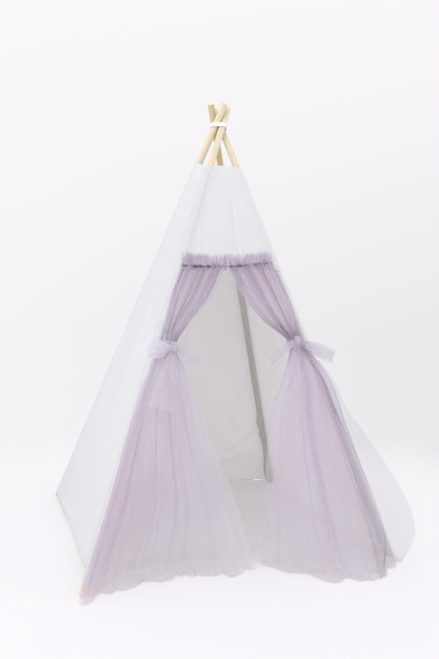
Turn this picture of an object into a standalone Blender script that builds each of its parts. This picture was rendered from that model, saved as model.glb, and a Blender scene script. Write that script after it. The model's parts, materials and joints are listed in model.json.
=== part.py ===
"""A child's play tent: four wooden poles lashed near the top, a white canvas cover with a sleeve
for each pole, and a pair of tulle curtains tied back with bows. Metres, +Z up, front towards -Y."""

import math

import bmesh
import bpy
from mathutils import Matrix, Vector
from mathutils.bvhtree import BVHTree

# Poles and how they stand: about 1.8 m long, of which the last stretch is above the crossing
POLE_DIAMETER = 0.025
POLE_EDGE = 0.0015
BASE_WIDTH = 1.04
BASE_DEPTH = 0.94
CROSSING_HEIGHT = 1.575
POLE_ABOVE_CROSSING = 0.076
POLE_CLEARANCE = 0.0006
GAP = 0.0003

# Lashing
CORD_DIAMETER = 0.0055
CORD_TURNS = 3
CORD_PITCH = 0.0064
CORD_POINTS_PER_TURN = 24
KNOT_SIZE = (0.0085, 0.0070, 0.0080)
KNOT_STANDOFF = 0.009
KNOT_ENTRY = 0.003
TAIL_LENGTH = 0.045

# Canvas cover
CANVAS_THICKNESS = 0.0015
CANVAS_TOPS = {"front_left": 1.388, "front_right": 1.403, "rear_left": 1.412, "rear_right": 1.415}
SLEEVE_BOTTOM = 0.030
SLEEVE_EASE = 0.0006
SIDE_HEM_REAR = 0.020
SIDE_HEM_FRONT = 0.066
REAR_HEM = 0.022
REAR_HEM_RISE = 0.014
SIDE_SAG = 0.010
FRONT_FOLD_DEPTH = 0.005

# Curtain header: a gathered casing on a drawcord, across the front
HEADER_TOP = 1.049
HEADER_HEIGHT = 0.066
HEADER_SAG = 0.008
HEADER_SLOPE = 0.08
HEADER_RUFFLE = 0.004
RUFFLES_PER_METRE = 42
CASING_RADIUS = 0.0046
CASING_HEIGHT = 0.0170
LEAF_SPREAD = 0.0030
GATHERED_SHARE = 0.35
HEADER_LEVELS = (0, 0.22, 0.47, 0.70, 0.85, 1)
DRAWCORD_HEIGHT = HEADER_TOP - HEADER_LEVELS[3] * HEADER_HEIGHT
DRAWCORD_POINTS = 33
DRAWCORD_DIAMETER = 0.004
HEADER_BOTTOM = HEADER_TOP - HEADER_HEIGHT - 0.001
FRONT_HEM = HEADER_BOTTOM + 0.008

# Where each side (-1 is the left, 1 the right) has its header, from its inner to its outer end, and its
# tie-back, how far out and how high, all measured from the middle between the front poles
LEFT_HEADER_SPAN = (0.0300, 0.200)
RIGHT_HEADER_SPAN = (-0.0270, 0.160)
LEFT_TIE_PLACE = (0.270, 0.706)
RIGHT_TIE_PLACE = (0.230, 0.722)
HEADER_SPANS = {-1: LEFT_HEADER_SPAN, 1: RIGHT_HEADER_SPAN}
TIE_PLACES = {-1: LEFT_TIE_PLACE, 1: RIGHT_TIE_PLACE}

# Curtains and their tie-backs
TULLE_THICKNESS = 0.0010
BUNDLE_HALF_WIDTH = 0.027
BUNDLE_HALF_DEPTH = 0.019
PLEATS = 8
PLEAT_TOP = 0.006
PLEAT_FLOOR = 0.016
TIE_EASE = 0.022
BAND_HEIGHT = 0.026
BAND_THICKNESS = 0.0020
BAND_RIB = 0.0008
BAND_EASE = 0.004
BOW_KNOT_SIZE = (0.015, 0.011, 0.017)
RIBBON_THICKNESS = 0.0010
RIBBON_ROOT_HALF = 0.005
LOOP_OPENING = 0.009
LOOP_CURL = 0.0015
TAIL_PLEAT = 0.010
CURTAIN_FLOOR = 0.0020

# Curtain outlines below the header: height, distance of the outer and the inner edge from the
# tent's middle, and how far the outer edge, middle and inner edge stand in front of the poles
LEFT_ABOVE_TIE = (
    (0.880, 0.243, 0.100, 0.032, 0.036, 0.032),
    (0.790, 0.262, 0.182, 0.036, 0.042, 0.038),
)
RIGHT_ABOVE_TIE = (
    (0.880, 0.203, 0.020, 0.032, 0.036, 0.032),
    (0.790, 0.230, 0.086, 0.034, 0.038, 0.034),
)
LEFT_BELOW_TIE = (
    (0.600, 0.340, 0.215, 0.038, 0.050, 0.040),
    (0.430, 0.394, 0.185, 0.036, 0.052, 0.030),
    (0.230, 0.456, 0.104, 0.036, 0.040, 0.016),
    (CURTAIN_FLOOR, 0.535, 0.044, 0.040, -0.020, 0.006),
)
RIGHT_BELOW_TIE = (
    (0.600, 0.336, 0.175, 0.038, 0.056, 0.042),
    (0.430, 0.388, 0.108, 0.036, 0.078, 0.040),
    (0.230, 0.448, 0.066, 0.036, 0.096, 0.020),
    (CURTAIN_FLOOR, 0.515, 0.048, 0.034, 0.110, -0.050),
)
OVERLAY = (
    (0.590, 0.352, 0.290, 0.0502, 0.0602, 0.0660),
    (0.500, 0.382, 0.300, 0.057, 0.075, 0.087),
    (0.400, 0.450, 0.320, 0.064, 0.090, 0.106),
    (0.210, 0.590, 0.350, 0.054, 0.090, 0.124),
    (CURTAIN_FLOOR, 0.640, 0.370, 0.048, 0.092, 0.138),
)
OVERLAY_PLEATS = 4

# Bow pieces of each side: name, heading in degrees up from the outward side, length, widest
# width, droop at the far end and how far it leans forward
LEFT_LOOPS = (
    ("bow_loop_outer", -2, 0.092, 0.060, 0.010, 0.006),
    ("bow_loop_upper", 70, 0.124, 0.038, 0.000, 0.014),
)
LEFT_TAILS = (
    ("bow_tail_side", 206, 0.108, 0.046, 0.008, 0.012),
    ("bow_tail_hanging", 277, 0.215, 0.096, 0.000, 0.022),
)
RIGHT_LOOPS = (
    ("bow_loop_outer", 0, 0.142, 0.066, 0.016, 0.008),
    ("bow_loop_lower", -52, 0.104, 0.044, 0.000, 0.006),
)
RIGHT_TAILS = (
    ("bow_tail_side", 206, 0.118, 0.044, 0.008, 0.012),
    ("bow_tail_hanging", 257, 0.190, 0.084, 0.000, 0.036),
)

# How finely the meshes are divided: faces across and along each sheet, and round each tube
POLE_SIDES = 24
SIDE_PANEL_GRID = (12, 12)
FRONT_PANEL_GRID = (20, 6)
HEADER_ACROSS = 35
FACES_PER_PLEAT = 5
ROWS_ABOVE_TIE = 5
ROWS_BELOW_TIE = 6
OVERLAY_ROWS = 8
BAND_GRID = (28, 6)
LOOP_GRID = (16, 4)
TAIL_GRID = (6, 8)

CORNERS = {
    "front_left": (-1, -1),
    "front_right": (1, -1),
    "rear_left": (-1, 1),
    "rear_right": (1, 1),
}
NEIGHBOURS = (
    ("front_left", "front_right"),
    ("front_right", "rear_right"),
    ("rear_right", "rear_left"),
    ("rear_left", "front_left"),
)
PIVOT = Vector((0, 0, CROSSING_HEIGHT))
UP = Vector((0, 0, 1))

COLOURS = {
    "wood": ((0.85, 0.72, 0.52, 1), 0.55),
    "cord": ((0.90, 0.89, 0.87, 1), 0.80),
    "canvas": ((0.80, 0.80, 0.81, 1), 0.85),
    "tulle": ((0.55, 0.47, 0.60, 1), 0.60),
    "elastic": ((0.62, 0.55, 0.66, 1), 0.75),
}


def clear_scene():
    for obj in list(bpy.data.objects):
        bpy.data.objects.remove(obj, do_unlink=True)


def new_collection(name, hidden=False):
    collection = bpy.data.collections.new(name)
    collection.hide_render = hidden
    bpy.context.scene.collection.children.link(collection)
    return collection


def new_material(name, finish):
    colour, roughness = COLOURS[finish]
    material = bpy.data.materials.new(name)
    material.use_nodes = True
    shader = material.node_tree.nodes["Principled BSDF"]
    shader.inputs["Base Color"].default_value = colour
    shader.inputs["Roughness"].default_value = roughness
    shader.inputs["Metallic"].default_value = 0.0
    return material


def add_mesh(name, bm, finish, carrier):
    """Makes an object of a mesh built in the tent's own coordinates, with its origin on the pivot."""
    bmesh.ops.recalc_face_normals(bm, faces=bm.faces)
    bmesh.ops.translate(bm, vec=-PIVOT, verts=bm.verts)
    mesh = bpy.data.meshes.new(name)
    bm.to_mesh(mesh)
    bm.free()
    mesh.shade_smooth()
    mesh.set_sharp_from_angle(angle=math.radians(50))
    mesh.materials.append(new_material(name, finish))
    obj = bpy.data.objects.new(name, mesh)
    PARTS.objects.link(obj)
    obj.parent = carrier
    return obj


def add_empty(name, parent=None, location=(0, 0, 0)):
    empty = bpy.data.objects.new(name, None)
    empty.empty_display_size = 0.1
    empty.location = location
    empty.parent = parent
    PARTS.objects.link(empty)
    return empty


def thicken(obj, thickness):
    solidify = obj.modifiers.new("thickness", "SOLIDIFY")
    solidify.thickness = thickness
    solidify.offset = 0.0
    solidify.use_even_offset = False


def add_cloth(name, surface, grid, thickness, finish, carrier, closed=False):
    """A sheet whose point at u, v (0 to 1) is given by surface, thickened to both sides."""
    across, along = grid
    bm = bmesh.new()
    bmesh.ops.create_grid(bm, x_segments=across, y_segments=along, size=0.5)
    for vert in bm.verts:
        vert.co = surface(vert.co.x + 0.5, vert.co.y + 0.5)
    if closed:
        bmesh.ops.remove_doubles(bm, verts=bm.verts, dist=0.000001)
    obj = add_mesh(name, bm, finish, carrier)
    thicken(obj, thickness)
    return obj


def foot(corner):
    side, end = CORNERS[corner]
    return Vector((side * BASE_WIDTH / 2, end * BASE_DEPTH / 2, 0))


def crossing_point(corner, offset):
    """Where a pole passes the tent's axis: beside it, so that the four poles lie round each other."""
    radial = foot(corner).normalized()
    return Vector((-radial.y, radial.x, 0)) * offset + PIVOT


def pole_direction(corner, offset):
    return (crossing_point(corner, offset) - foot(corner)).normalized()


def distance_between_poles(first, second, offset):
    a = pole_direction(first, offset)
    b = pole_direction(second, offset)
    apart = crossing_point(first, offset) - crossing_point(second, offset)
    return abs(apart.dot(a.cross(b).normalized()))


def solve_crossing_offset():
    """The offset at which the closest neighbours just clear each other."""
    offset = POLE_DIAMETER
    for _ in range(8):
        closest = min(distance_between_poles(a, b, offset) for a, b in NEIGHBOURS)
        offset *= (POLE_DIAMETER + POLE_CLEARANCE) / closest
    return offset


CROSSING_OFFSET = solve_crossing_offset()
DIRECTIONS = {corner: pole_direction(corner, CROSSING_OFFSET) for corner in CORNERS}
SLEEVE_INNER_RADIUS = POLE_DIAMETER / 2 + SLEEVE_EASE
SLEEVE_OUTER_RADIUS = SLEEVE_INNER_RADIUS + CANVAS_THICKNESS


def on_pole(corner, height):
    direction = DIRECTIONS[corner]
    return foot(corner) + direction * (height / direction.z)


def face_normal(first, second):
    """The outward normal of the tent face between two poles."""
    normal = DIRECTIONS[first].cross(DIRECTIONS[second]).normalized()
    middle = (foot(first) + foot(second)) / 2
    return normal if normal.dot(middle) > 0 else -normal


def fold_axis(moving, fixed):
    """The hinge line that closes one pole on its neighbour and keeps their distance."""
    return DIRECTIONS[moving].cross(DIRECTIONS[fixed]).normalized()


def make_pole(corner, carrier):
    direction = DIRECTIONS[corner]
    below_floor = POLE_DIAMETER
    to_crossing = (crossing_point(corner, CROSSING_OFFSET) - foot(corner)).length
    depth = to_crossing + POLE_ABOVE_CROSSING + below_floor
    centre = foot(corner) + direction * (depth / 2 - below_floor)
    turn = direction.to_track_quat("Z", "Y").to_matrix().to_4x4()
    bm = bmesh.new()
    bmesh.ops.create_cone(
        bm,
        cap_ends=True,
        segments=POLE_SIDES,
        radius1=POLE_DIAMETER / 2,
        radius2=POLE_DIAMETER / 2,
        depth=depth,
        matrix=Matrix.Translation(centre) @ turn,
    )
    cut_level(bm, 0.0, keep_above=True, fill=True)
    obj = add_mesh(corner + "_pole", bm, "wood", carrier)
    edge = obj.modifiers.new("edge", "BEVEL")
    edge.width = POLE_EDGE
    edge.segments = 2
    edge.limit_method = "ANGLE"
    edge.angle_limit = math.radians(50)


def cut_level(bm, height, keep_above, fill):
    everything = bm.verts[:] + bm.edges[:] + bm.faces[:]
    normal = UP if keep_above else -UP
    bmesh.ops.bisect_plane(bm, geom=everything, plane_co=(0, 0, height), plane_no=normal, clear_inner=True)
    if fill:
        bmesh.ops.holes_fill(bm, edges=[edge for edge in bm.edges if edge.is_boundary])


def make_sleeve(corner, carrier):
    """The canvas channel that a pole runs in, from just above its foot to the open top."""
    direction = DIRECTIONS[corner]
    low = on_pole(corner, SLEEVE_BOTTOM)
    high = on_pole(corner, CANVAS_TOPS[corner])
    turn = direction.to_track_quat("Z", "Y").to_matrix().to_4x4()
    bm = bmesh.new()
    bmesh.ops.create_cone(
        bm,
        cap_ends=False,
        segments=POLE_SIDES,
        radius1=SLEEVE_INNER_RADIUS + CANVAS_THICKNESS / 2,
        radius2=SLEEVE_INNER_RADIUS + CANVAS_THICKNESS / 2,
        depth=(high - low).length + 4 * SLEEVE_OUTER_RADIUS,
        matrix=Matrix.Translation((low + high) / 2) @ turn,
    )
    cut_level(bm, SLEEVE_BOTTOM, keep_above=True, fill=False)
    cut_level(bm, CANVAS_TOPS[corner], keep_above=False, fill=False)
    obj = add_mesh(corner + "_sleeve", bm, "canvas", carrier)
    thicken(obj, CANVAS_THICKNESS)


def section_point(centre, radial, radius, normal):
    """The point of a slanting pole's level section that lies furthest along a level direction."""
    long_half = radius / DIRECTIONS["front_left"].z
    tangent = Vector((-radial.y, radial.x, 0))
    along = normal.dot(radial)
    across = normal.dot(tangent)
    reach = math.hypot(long_half * along, radius * across)
    return centre + (radial * long_half**2 * along + tangent * radius**2 * across) / reach


def bundle_outline(angle, height, standoff):
    """A point of the line drawn tight round the four poles at one height."""
    normal = Vector((math.cos(angle), math.sin(angle), 0))
    points = [
        section_point(on_pole(corner, height), foot(corner).normalized(), POLE_DIAMETER / 2, normal)
        for corner in CORNERS
    ]
    return max(points, key=lambda point: point.dot(normal)) + normal * standoff


def tube_mesh(points, diameter, resolution=1):
    """A round tube along a line of points, closed at both ends, as a mesh."""
    curve = bpy.data.curves.new("tube", "CURVE")
    curve.dimensions = "3D"
    curve.bevel_depth = diameter / 2
    curve.bevel_resolution = resolution
    curve.use_fill_caps = True
    spline = curve.splines.new("POLY")
    spline.points.add(len(points) - 1)
    for slot, point in zip(spline.points, points):
        slot.co = (*point, 1)
    guide = bpy.data.objects.new("tube", curve)
    GUIDES.objects.link(guide)
    bpy.context.view_layer.update()
    mesh = bpy.data.meshes.new_from_object(guide.evaluated_get(bpy.context.evaluated_depsgraph_get()))
    bpy.data.objects.remove(guide, do_unlink=True)
    bm = bmesh.new()
    bm.from_mesh(mesh)
    bmesh.ops.remove_doubles(bm, verts=bm.verts, dist=0.00001)
    bpy.data.meshes.remove(mesh)
    return bm


def lashing_route():
    """Tight turns round the poles, with both ends led out into a knot at the back."""
    standoff = (CORD_DIAMETER / 2 + GAP) / math.cos(math.radians(20))
    steps = CORD_TURNS * CORD_POINTS_PER_TURN
    back = math.pi / 2
    turns = []
    for step in range(1, steps):
        share = step / steps
        height = CROSSING_HEIGHT + CORD_TURNS * CORD_PITCH * (share - 0.5)
        turns.append(bundle_outline(back + share * CORD_TURNS * math.tau, height, standoff))
    rear = max(point.y for point in turns) + KNOT_STANDOFF
    lower = Vector((0, rear, CROSSING_HEIGHT - KNOT_ENTRY))
    upper = Vector((0, rear, CROSSING_HEIGHT + KNOT_ENTRY))
    return [lower] + turns + [upper]


def report_self_gap(points):
    """Prints the least gap between turns, measured between the route's own points."""
    apart = CORD_POINTS_PER_TURN // 2
    gaps = [
        (points[i] - points[j]).length - CORD_DIAMETER
        for i in range(1, len(points) - 1)
        for j in range(i + apart, len(points) - 1)
    ]
    print(f"lashing_cord least self-gap {min(gaps) * 1000:.2f} mm")


def add_union(obj, bm, name):
    """Joins another closed shape to an object with a Boolean union."""
    bmesh.ops.recalc_face_normals(bm, faces=bm.faces)
    bmesh.ops.translate(bm, vec=-PIVOT, verts=bm.verts)
    mesh = bpy.data.meshes.new(name)
    bm.to_mesh(mesh)
    bm.free()
    tool = bpy.data.objects.new(name, mesh)
    tool.hide_render = True
    tool.display_type = "WIRE"
    tool.parent = obj.parent
    GUIDES.objects.link(tool)
    union = obj.modifiers.new(name, "BOOLEAN")
    union.operation = "UNION"
    union.solver = "EXACT"
    union.object = tool


def make_lashing(carrier):
    route = lashing_route()
    report_self_gap(route)
    obj = add_mesh("lashing_cord", tube_mesh(route, CORD_DIAMETER), "cord", carrier)
    knot_centre = (route[0] + route[-1]) / 2
    knot = bmesh.new()
    size = Matrix.Diagonal((*KNOT_SIZE, 1))
    bmesh.ops.create_icosphere(knot, subdivisions=2, radius=1, matrix=Matrix.Translation(knot_centre) @ size)
    add_union(obj, knot, "knot")
    for side in (-1, 1):
        tail = []
        for step in range(6):
            share = step / 5
            reach = Vector((side * 0.014 * share, 0.006 * share, -TAIL_LENGTH * share))
            tail.append(knot_centre + Vector((side * 0.004, 0.001, 0)) + reach)
        add_union(obj, tube_mesh(tail, CORD_DIAMETER - 0.0003), "tail")


def tangent_line(first, second, height, radius):
    """The level line that touches both sleeves from outside: its two ends and its outward normal."""
    start = on_pole(first, height)
    end = on_pole(second, height)
    normal = face_normal(first, second)
    for _ in range(4):
        along = end - start
        level = Vector((-along.y, along.x, 0)).normalized()
        normal = level if level.dot(normal) > 0 else -level
        start = section_point(on_pole(first, height), foot(first).normalized(), radius, normal)
        end = section_point(on_pole(second, height), foot(second).normalized(), radius, normal)
    return start, end, normal


def panel_surface(first, second, low_edge, relief):
    """A canvas face drawn over two poles: u runs from first to second, v from the hem up."""
    lift = (GAP + CANVAS_THICKNESS / 2) / face_normal(first, second).xy.length

    def surface(u, v):
        top = CANVAS_TOPS[first] + (CANVAS_TOPS[second] - CANVAS_TOPS[first]) * u
        height = low_edge(u) + (top - low_edge(u)) * v
        start, end, normal = tangent_line(first, second, height, SLEEVE_OUTER_RADIUS)
        return start.lerp(end, u) + normal * (lift - relief(u, v))

    return surface


def side_hem(u):
    return SIDE_HEM_REAR + (SIDE_HEM_FRONT - SIDE_HEM_REAR) * u**1.6


def rear_hem(u):
    return REAR_HEM + REAR_HEM_RISE * math.sin(math.pi * u) ** 2


def front_hem(u):
    return FRONT_HEM


def side_relief(u, v):
    """A slack middle, deepest low down, with one long pull from the top."""
    slack = SIDE_SAG * math.sin(math.pi * u) ** 2
    pull = 0.3 * math.sin(3 * math.pi * u) ** 2 * (1 - v)
    return slack * (1 - 0.8 * v) * (1 + pull)


def front_relief(u, v):
    """The soft upright folds of the piece over the doorway."""
    edge = math.sin(math.pi * u) ** 2
    folds = 0.5 - 0.5 * math.cos(math.tau * (2.6 * u + 0.15))
    return FRONT_FOLD_DEPTH * edge * folds * (1.1 - 0.6 * v)


def make_panels(carriers):
    faces = (
        ("left", "rear_left", "front_left", side_hem, side_relief, "rear_left", SIDE_PANEL_GRID),
        ("right", "rear_right", "front_right", side_hem, side_relief, "rear_right", SIDE_PANEL_GRID),
        ("rear", "rear_left", "rear_right", rear_hem, side_relief, "rear_right", SIDE_PANEL_GRID),
        ("front", "front_left", "front_right", front_hem, front_relief, "front_left", FRONT_PANEL_GRID),
    )
    for name, first, second, low_edge, relief, body, grid in faces:
        surface = panel_surface(first, second, low_edge, relief)
        add_cloth(name + "_panel", surface, grid, CANVAS_THICKNESS, "canvas", carriers[body])


def front_point(out, height, forward, side):
    """A point in front of the doorway: out from the middle, and forward of the two front poles."""
    normal = face_normal("front_left", "front_right")
    level = height - forward * normal.z
    left = on_pole("front_left", level)
    right = on_pole("front_right", level)
    share = 0.5 + side * out / (right.x - left.x)
    return left.lerp(right, share) + normal * forward


def half_opening(height):
    return on_pole("front_right", height).x


def header_rise(out, side):
    """How far the header runs above its own level: it sags, and climbs towards the right."""
    share = out / half_opening(HEADER_TOP)
    return HEADER_SLOPE * side * out - HEADER_SAG * (1 - share**2)


def header_standoff():
    """How far in front of the poles the drawcord runs, with the ruffles against the canvas."""
    ruffles = LEAF_SPREAD + HEADER_RUFFLE + TULLE_THICKNESS / 2
    return SLEEVE_OUTER_RADIUS + CANVAS_THICKNESS + 2 * GAP + ruffles


def header_surface(side):
    """A strip folded over the drawcord: v runs up the back, over the frill and down the front."""
    inner, outer = HEADER_SPANS[side]
    standoff = header_standoff()

    def surface(u, v):
        out = inner + (outer - inner) * u
        wave = math.sin(math.tau * RUFFLES_PER_METRE * (out - inner))
        around = round((v - 0.5) * 2 * (len(HEADER_LEVELS) - 1))
        height = HEADER_TOP - HEADER_HEIGHT * HEADER_LEVELS[abs(around)]
        near_cord = math.exp(-(((height - DRAWCORD_HEIGHT) / (CASING_HEIGHT / 2)) ** 2))
        leaf = LEAF_SPREAD + (CASING_RADIUS - LEAF_SPREAD) * near_cord
        ruffle = HEADER_RUFFLE * (1 - (1 - GATHERED_SHARE) * near_cord) * wave
        forward = standoff + ruffle + leaf * (around > 0) - leaf * (around < 0)
        return front_point(out, height + header_rise(out, side), forward, side)

    return surface


def make_header(side, name, carrier):
    grid = (HEADER_ACROSS, 2 * (len(HEADER_LEVELS) - 1))
    add_cloth(name, header_surface(side), grid, TULLE_THICKNESS, "tulle", carrier)


def make_drawcord(carrier):
    """The elastic inside the casing that gathers both curtains, its ends sewn in at the sides."""
    standoff = header_standoff()
    route = []
    for out in level_steps(-HEADER_SPANS[-1][1], HEADER_SPANS[1][1], DRAWCORD_POINTS - 1):
        route.append(front_point(out, DRAWCORD_HEIGHT + header_rise(out, 1), standoff, 1))
    add_mesh("curtain_drawcord", tube_mesh(route, DRAWCORD_DIAMETER), "elastic", carrier)


def blend_rows(rows, height):
    """Reads a curtain outline at one height, smoothly between its rows."""
    index = 0
    while index < len(rows) - 2 and height < rows[index + 1][0]:
        index += 1
    before = rows[max(index - 1, 0)]
    start = rows[index]
    end = rows[index + 1]
    after = rows[min(index + 2, len(rows) - 1)]
    span = end[0] - start[0]
    t = (height - start[0]) / span
    values = []
    for column in range(1, len(start)):
        slope_in = (end[column] - before[column]) / (end[0] - before[0]) * span
        slope_out = (after[column] - start[column]) / (after[0] - start[0]) * span
        values.append(
            start[column] * (2 * t**3 - 3 * t**2 + 1)
            + slope_in * (t**3 - 2 * t**2 + t)
            + end[column] * (3 * t**2 - 2 * t**3)
            + slope_out * (t**3 - t**2)
        )
    return values


def level_steps(start, end, count):
    return [start + (end - start) * step / count for step in range(count + 1)]


def curtain_heights(top, bottom, tie_height, tied):
    """The levels of a curtain's rows of points, with closer rows where the tie-back holds it."""
    if not tied:
        return level_steps(top, bottom, OVERLAY_ROWS)
    band_top = tie_height + BAND_HEIGHT / 2
    band_bottom = tie_height - BAND_HEIGHT / 2
    above = level_steps(top, band_top + TIE_EASE, ROWS_ABOVE_TIE)
    below = level_steps(band_bottom - TIE_EASE, bottom, ROWS_BELOW_TIE)
    return above + [band_top, band_bottom] + below


def curtain_surface(rows, side, pleats, tied=True):
    """Tulle hanging in pleats that close up at the tie-back: u runs out to in, v top to floor."""
    top = rows[0][0]
    bottom = rows[-1][0]
    tie_height = TIE_PLACES[side][1]
    heights = curtain_heights(top, bottom, tie_height, tied)

    def surface(u, v):
        height = heights[round(v * (len(heights) - 1))]
        outer, inner, front_out, front_mid, front_in = blend_rows(rows, height)
        near_tie = math.exp(-(((height - tie_height) / 0.060) ** 2)) if tied else 0.0
        envelope = math.sqrt(max(0.0, 1 - (2 * u - 1) ** 2))
        loose = PLEAT_TOP + (PLEAT_FLOOR - PLEAT_TOP) * v
        depth = loose * (1 - near_tie) * (0.5 + 0.5 * envelope)
        depth += BUNDLE_HALF_DEPTH * near_tie * envelope
        wave = math.sin(math.tau * pleats * u + 1.5 * math.sin(math.tau * u))
        out = outer + (inner - outer) * u
        belly = 4 * u * (1 - u)
        forward = front_out + (front_in - front_out) * u + belly * (front_mid - (front_out + front_in) / 2)
        hang = max(0.0, height - tie_height) / (top - tie_height)
        return front_point(out, height + hang * header_rise(out, side), forward + depth * wave, side)

    return surface


def band_surface(side, rows):
    """A sash drawn round the gathered curtain, in shallow ribs."""
    clearance = GAP + (BAND_THICKNESS + TULLE_THICKNESS) / 2 + BAND_RIB
    tie_height = TIE_PLACES[side][1]

    def surface(u, v):
        angle = math.tau * u
        height = tie_height + (v - 0.5) * BAND_HEIGHT
        normal = Vector((math.cos(angle), math.sin(angle), 0))
        outer, inner, _, forward, _ = blend_rows(rows, height)
        half_width = (outer - inner) / 2 + BAND_EASE
        half_depth = BUNDLE_HALF_DEPTH + BAND_EASE
        bundle = front_point((outer + inner) / 2, height, forward, side)
        reach = math.hypot(half_width * normal.x, half_depth * normal.y)
        tulle = bundle + Vector((half_width**2 * normal.x, half_depth**2 * normal.y, 0)) / reach
        rib = BAND_RIB * math.cos(math.pi * BAND_GRID[1] * v)
        return tulle + normal * (clearance + rib)

    return surface


def outline_rows(side, above, below, standoff):
    """A curtain's whole outline, hung from the header and gathered at the tie-back."""
    inner, outer = HEADER_SPANS[side]
    out, height = TIE_PLACES[side]
    header = (HEADER_BOTTOM, outer, inner + PLEAT_TOP, *[header_standoff()] * 3)
    tie = (height, out + BUNDLE_HALF_WIDTH, out - BUNDLE_HALF_WIDTH, *[standoff] * 3)
    return (header, *above, tie, *below)


def band_points(side, rows):
    """Points spread over the band's own faces."""
    band = band_surface(side, rows)
    across, along = BAND_GRID
    corners = [[band(i / across, j / along) for j in range(along + 1)] for i in range(across + 1)]
    points = []
    for i in range(across):
        for j in range(along):
            for right in (0.0, 0.33, 0.67):
                low = corners[i][j].lerp(corners[i + 1][j], right)
                high = corners[i][j + 1].lerp(corners[i + 1][j + 1], right)
                points += [low, low.lerp(high, 0.5), high]
    return points


def solve_clear(clearance_at, needed, near, far):
    """The least value between near and far at which a clearance is wide enough."""
    for _ in range(16):
        middle = (near + far) / 2
        if clearance_at(middle) < needed:
            near = middle
        else:
            far = middle
    return far


def solve_tie_standoff(side, above, below):
    """How far forward the gathered curtain stands for its band to lie against the sleeve."""
    corner = "front_left" if side < 0 else "front_right"

    def clearance(standoff):
        points = band_points(side, outline_rows(side, above, below, standoff))
        return min((point - foot(corner)).cross(DIRECTIONS[corner]).length for point in points)

    needed = SLEEVE_OUTER_RADIUS + GAP + BAND_THICKNESS / 2
    return solve_clear(clearance, needed, SLEEVE_OUTER_RADIUS, SLEEVE_OUTER_RADIUS + 0.06)


def bow_knot_mesh(centre):
    bm = bmesh.new()
    size = Matrix.Diagonal((*BOW_KNOT_SIZE, 1))
    bmesh.ops.create_icosphere(bm, subdivisions=2, radius=1, matrix=Matrix.Translation(centre) @ size)
    return bm


def distance_outside(tree, point):
    """How far a point lies from a closed convex shape, negative inside it."""
    nearest, normal, _, distance = tree.find_nearest(point)
    return distance if (point - nearest).dot(normal) > 0 else -distance


def travel_to_clear(points, direction, centre, needed):
    """How far points must move in a direction to stand clear of a bow knot."""
    knot = bow_knot_mesh(centre)
    tree = BVHTree.FromBMesh(knot)
    knot.free()

    def clearance(travel):
        return min(distance_outside(tree, point + direction * travel) for point in points)

    return solve_clear(clearance, needed, -0.05, 0.05)


def knot_centre(side, rows, standoff):
    """The knot sits against the front of the band."""
    forward = face_normal("front_left", "front_right")
    start = front_point(*TIE_PLACES[side], standoff, side) + forward * BUNDLE_HALF_DEPTH
    needed = GAP + BAND_THICKNESS / 2
    front = [point for point in band_points(side, rows) if (point - start).dot(forward) > 0]
    return start + forward * travel_to_clear(front, -forward, start, needed)


def front_axes(side):
    """Three unit directions on the front face: outward to one side, up the face, and forward."""
    forward = face_normal("front_left", "front_right")
    sideways = Vector((side, 0, 0))
    up = sideways.cross(forward).normalized() * side
    return sideways, up if up.z > 0 else -up, forward


def ribbon_axes(side, heading):
    """A ribbon's directions along and across itself, and forward."""
    sideways, up, forward = front_axes(side)
    angle = math.radians(heading)
    ahead = sideways * math.cos(angle) + up * math.sin(angle)
    across = up * math.cos(angle) - sideways * math.sin(angle)
    return ahead, across, forward


def against_knot(surface, centre, ahead):
    """Moves a ribbon's surface out from the middle of its knot until its root rests on the knot."""
    roots = [step / 100 for step in range(13)]
    points = [surface(u, v / 10) for root in roots for u in (root, 1 - root) for v in range(11)]
    near = [point for point in points if (point - centre).length < 2 * max(BOW_KNOT_SIZE)]
    travel = ahead * travel_to_clear(near, ahead, centre, GAP + RIBBON_THICKNESS / 2)
    return lambda u, v: surface(u, v) + travel


def loop_surface(centre, side, heading, length, width, droop, lean):
    """A ribbon that goes out from the knot and comes back behind itself; v runs across it."""
    ahead, across, forward = ribbon_axes(side, heading)

    def surface(u, v):
        swell = math.sin(math.pi * u)
        out = length * swell**0.9
        half = RIBBON_ROOT_HALF + (width / 2 - RIBBON_ROOT_HALF) * swell**0.8
        opening = 0.0015 + LOOP_OPENING * swell**0.6 * abs(math.cos(math.pi * u)) ** 0.6
        front_leaf = 1 if u < 0.5 else -1
        curl = LOOP_CURL * swell * math.cos(math.tau * 1.5 * (v - 0.5))
        rise = front_leaf * opening + curl + lean * out / length
        fall = droop * (out / length) ** 2
        return centre + ahead * out + across * (half * (2 * v - 1)) + forward * rise - UP * fall

    return against_knot(surface, centre, ahead)


def tail_surface(centre, side, heading, length, width, droop, lean):
    """A free ribbon end that opens out from the knot in two soft pleats."""
    ahead, across, forward = ribbon_axes(side, heading)

    def surface(u, v):
        half = RIBBON_ROOT_HALF + (width / 2 - RIBBON_ROOT_HALF) * u**0.6
        pleat = TAIL_PLEAT * min(1.0, 3 * u) * (1 - math.cos(math.tau * 2 * v)) / 2
        rise = pleat + lean * u
        fall = droop * u**2
        return centre + ahead * (length * u) + across * (half * (2 * v - 1)) + forward * rise - UP * fall

    return against_knot(surface, centre, ahead)


def make_tie_back(side_name, side, rows, standoff, loops, tails, carrier):
    band = band_surface(side, rows)
    add_cloth(side_name + "_tie_band", band, BAND_GRID, BAND_THICKNESS, "tulle", carrier, closed=True)
    centre = knot_centre(side, rows, standoff)
    add_mesh(side_name + "_bow_knot", bow_knot_mesh(centre), "tulle", carrier)
    for name, *shape in loops:
        surface = loop_surface(centre, side, *shape)
        add_cloth(f"{side_name}_{name}", surface, LOOP_GRID, RIBBON_THICKNESS, "tulle", carrier)
    for name, *shape in tails:
        surface = tail_surface(centre, side, *shape)
        add_cloth(f"{side_name}_{name}", surface, TAIL_GRID, RIBBON_THICKNESS, "tulle", carrier)


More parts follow.
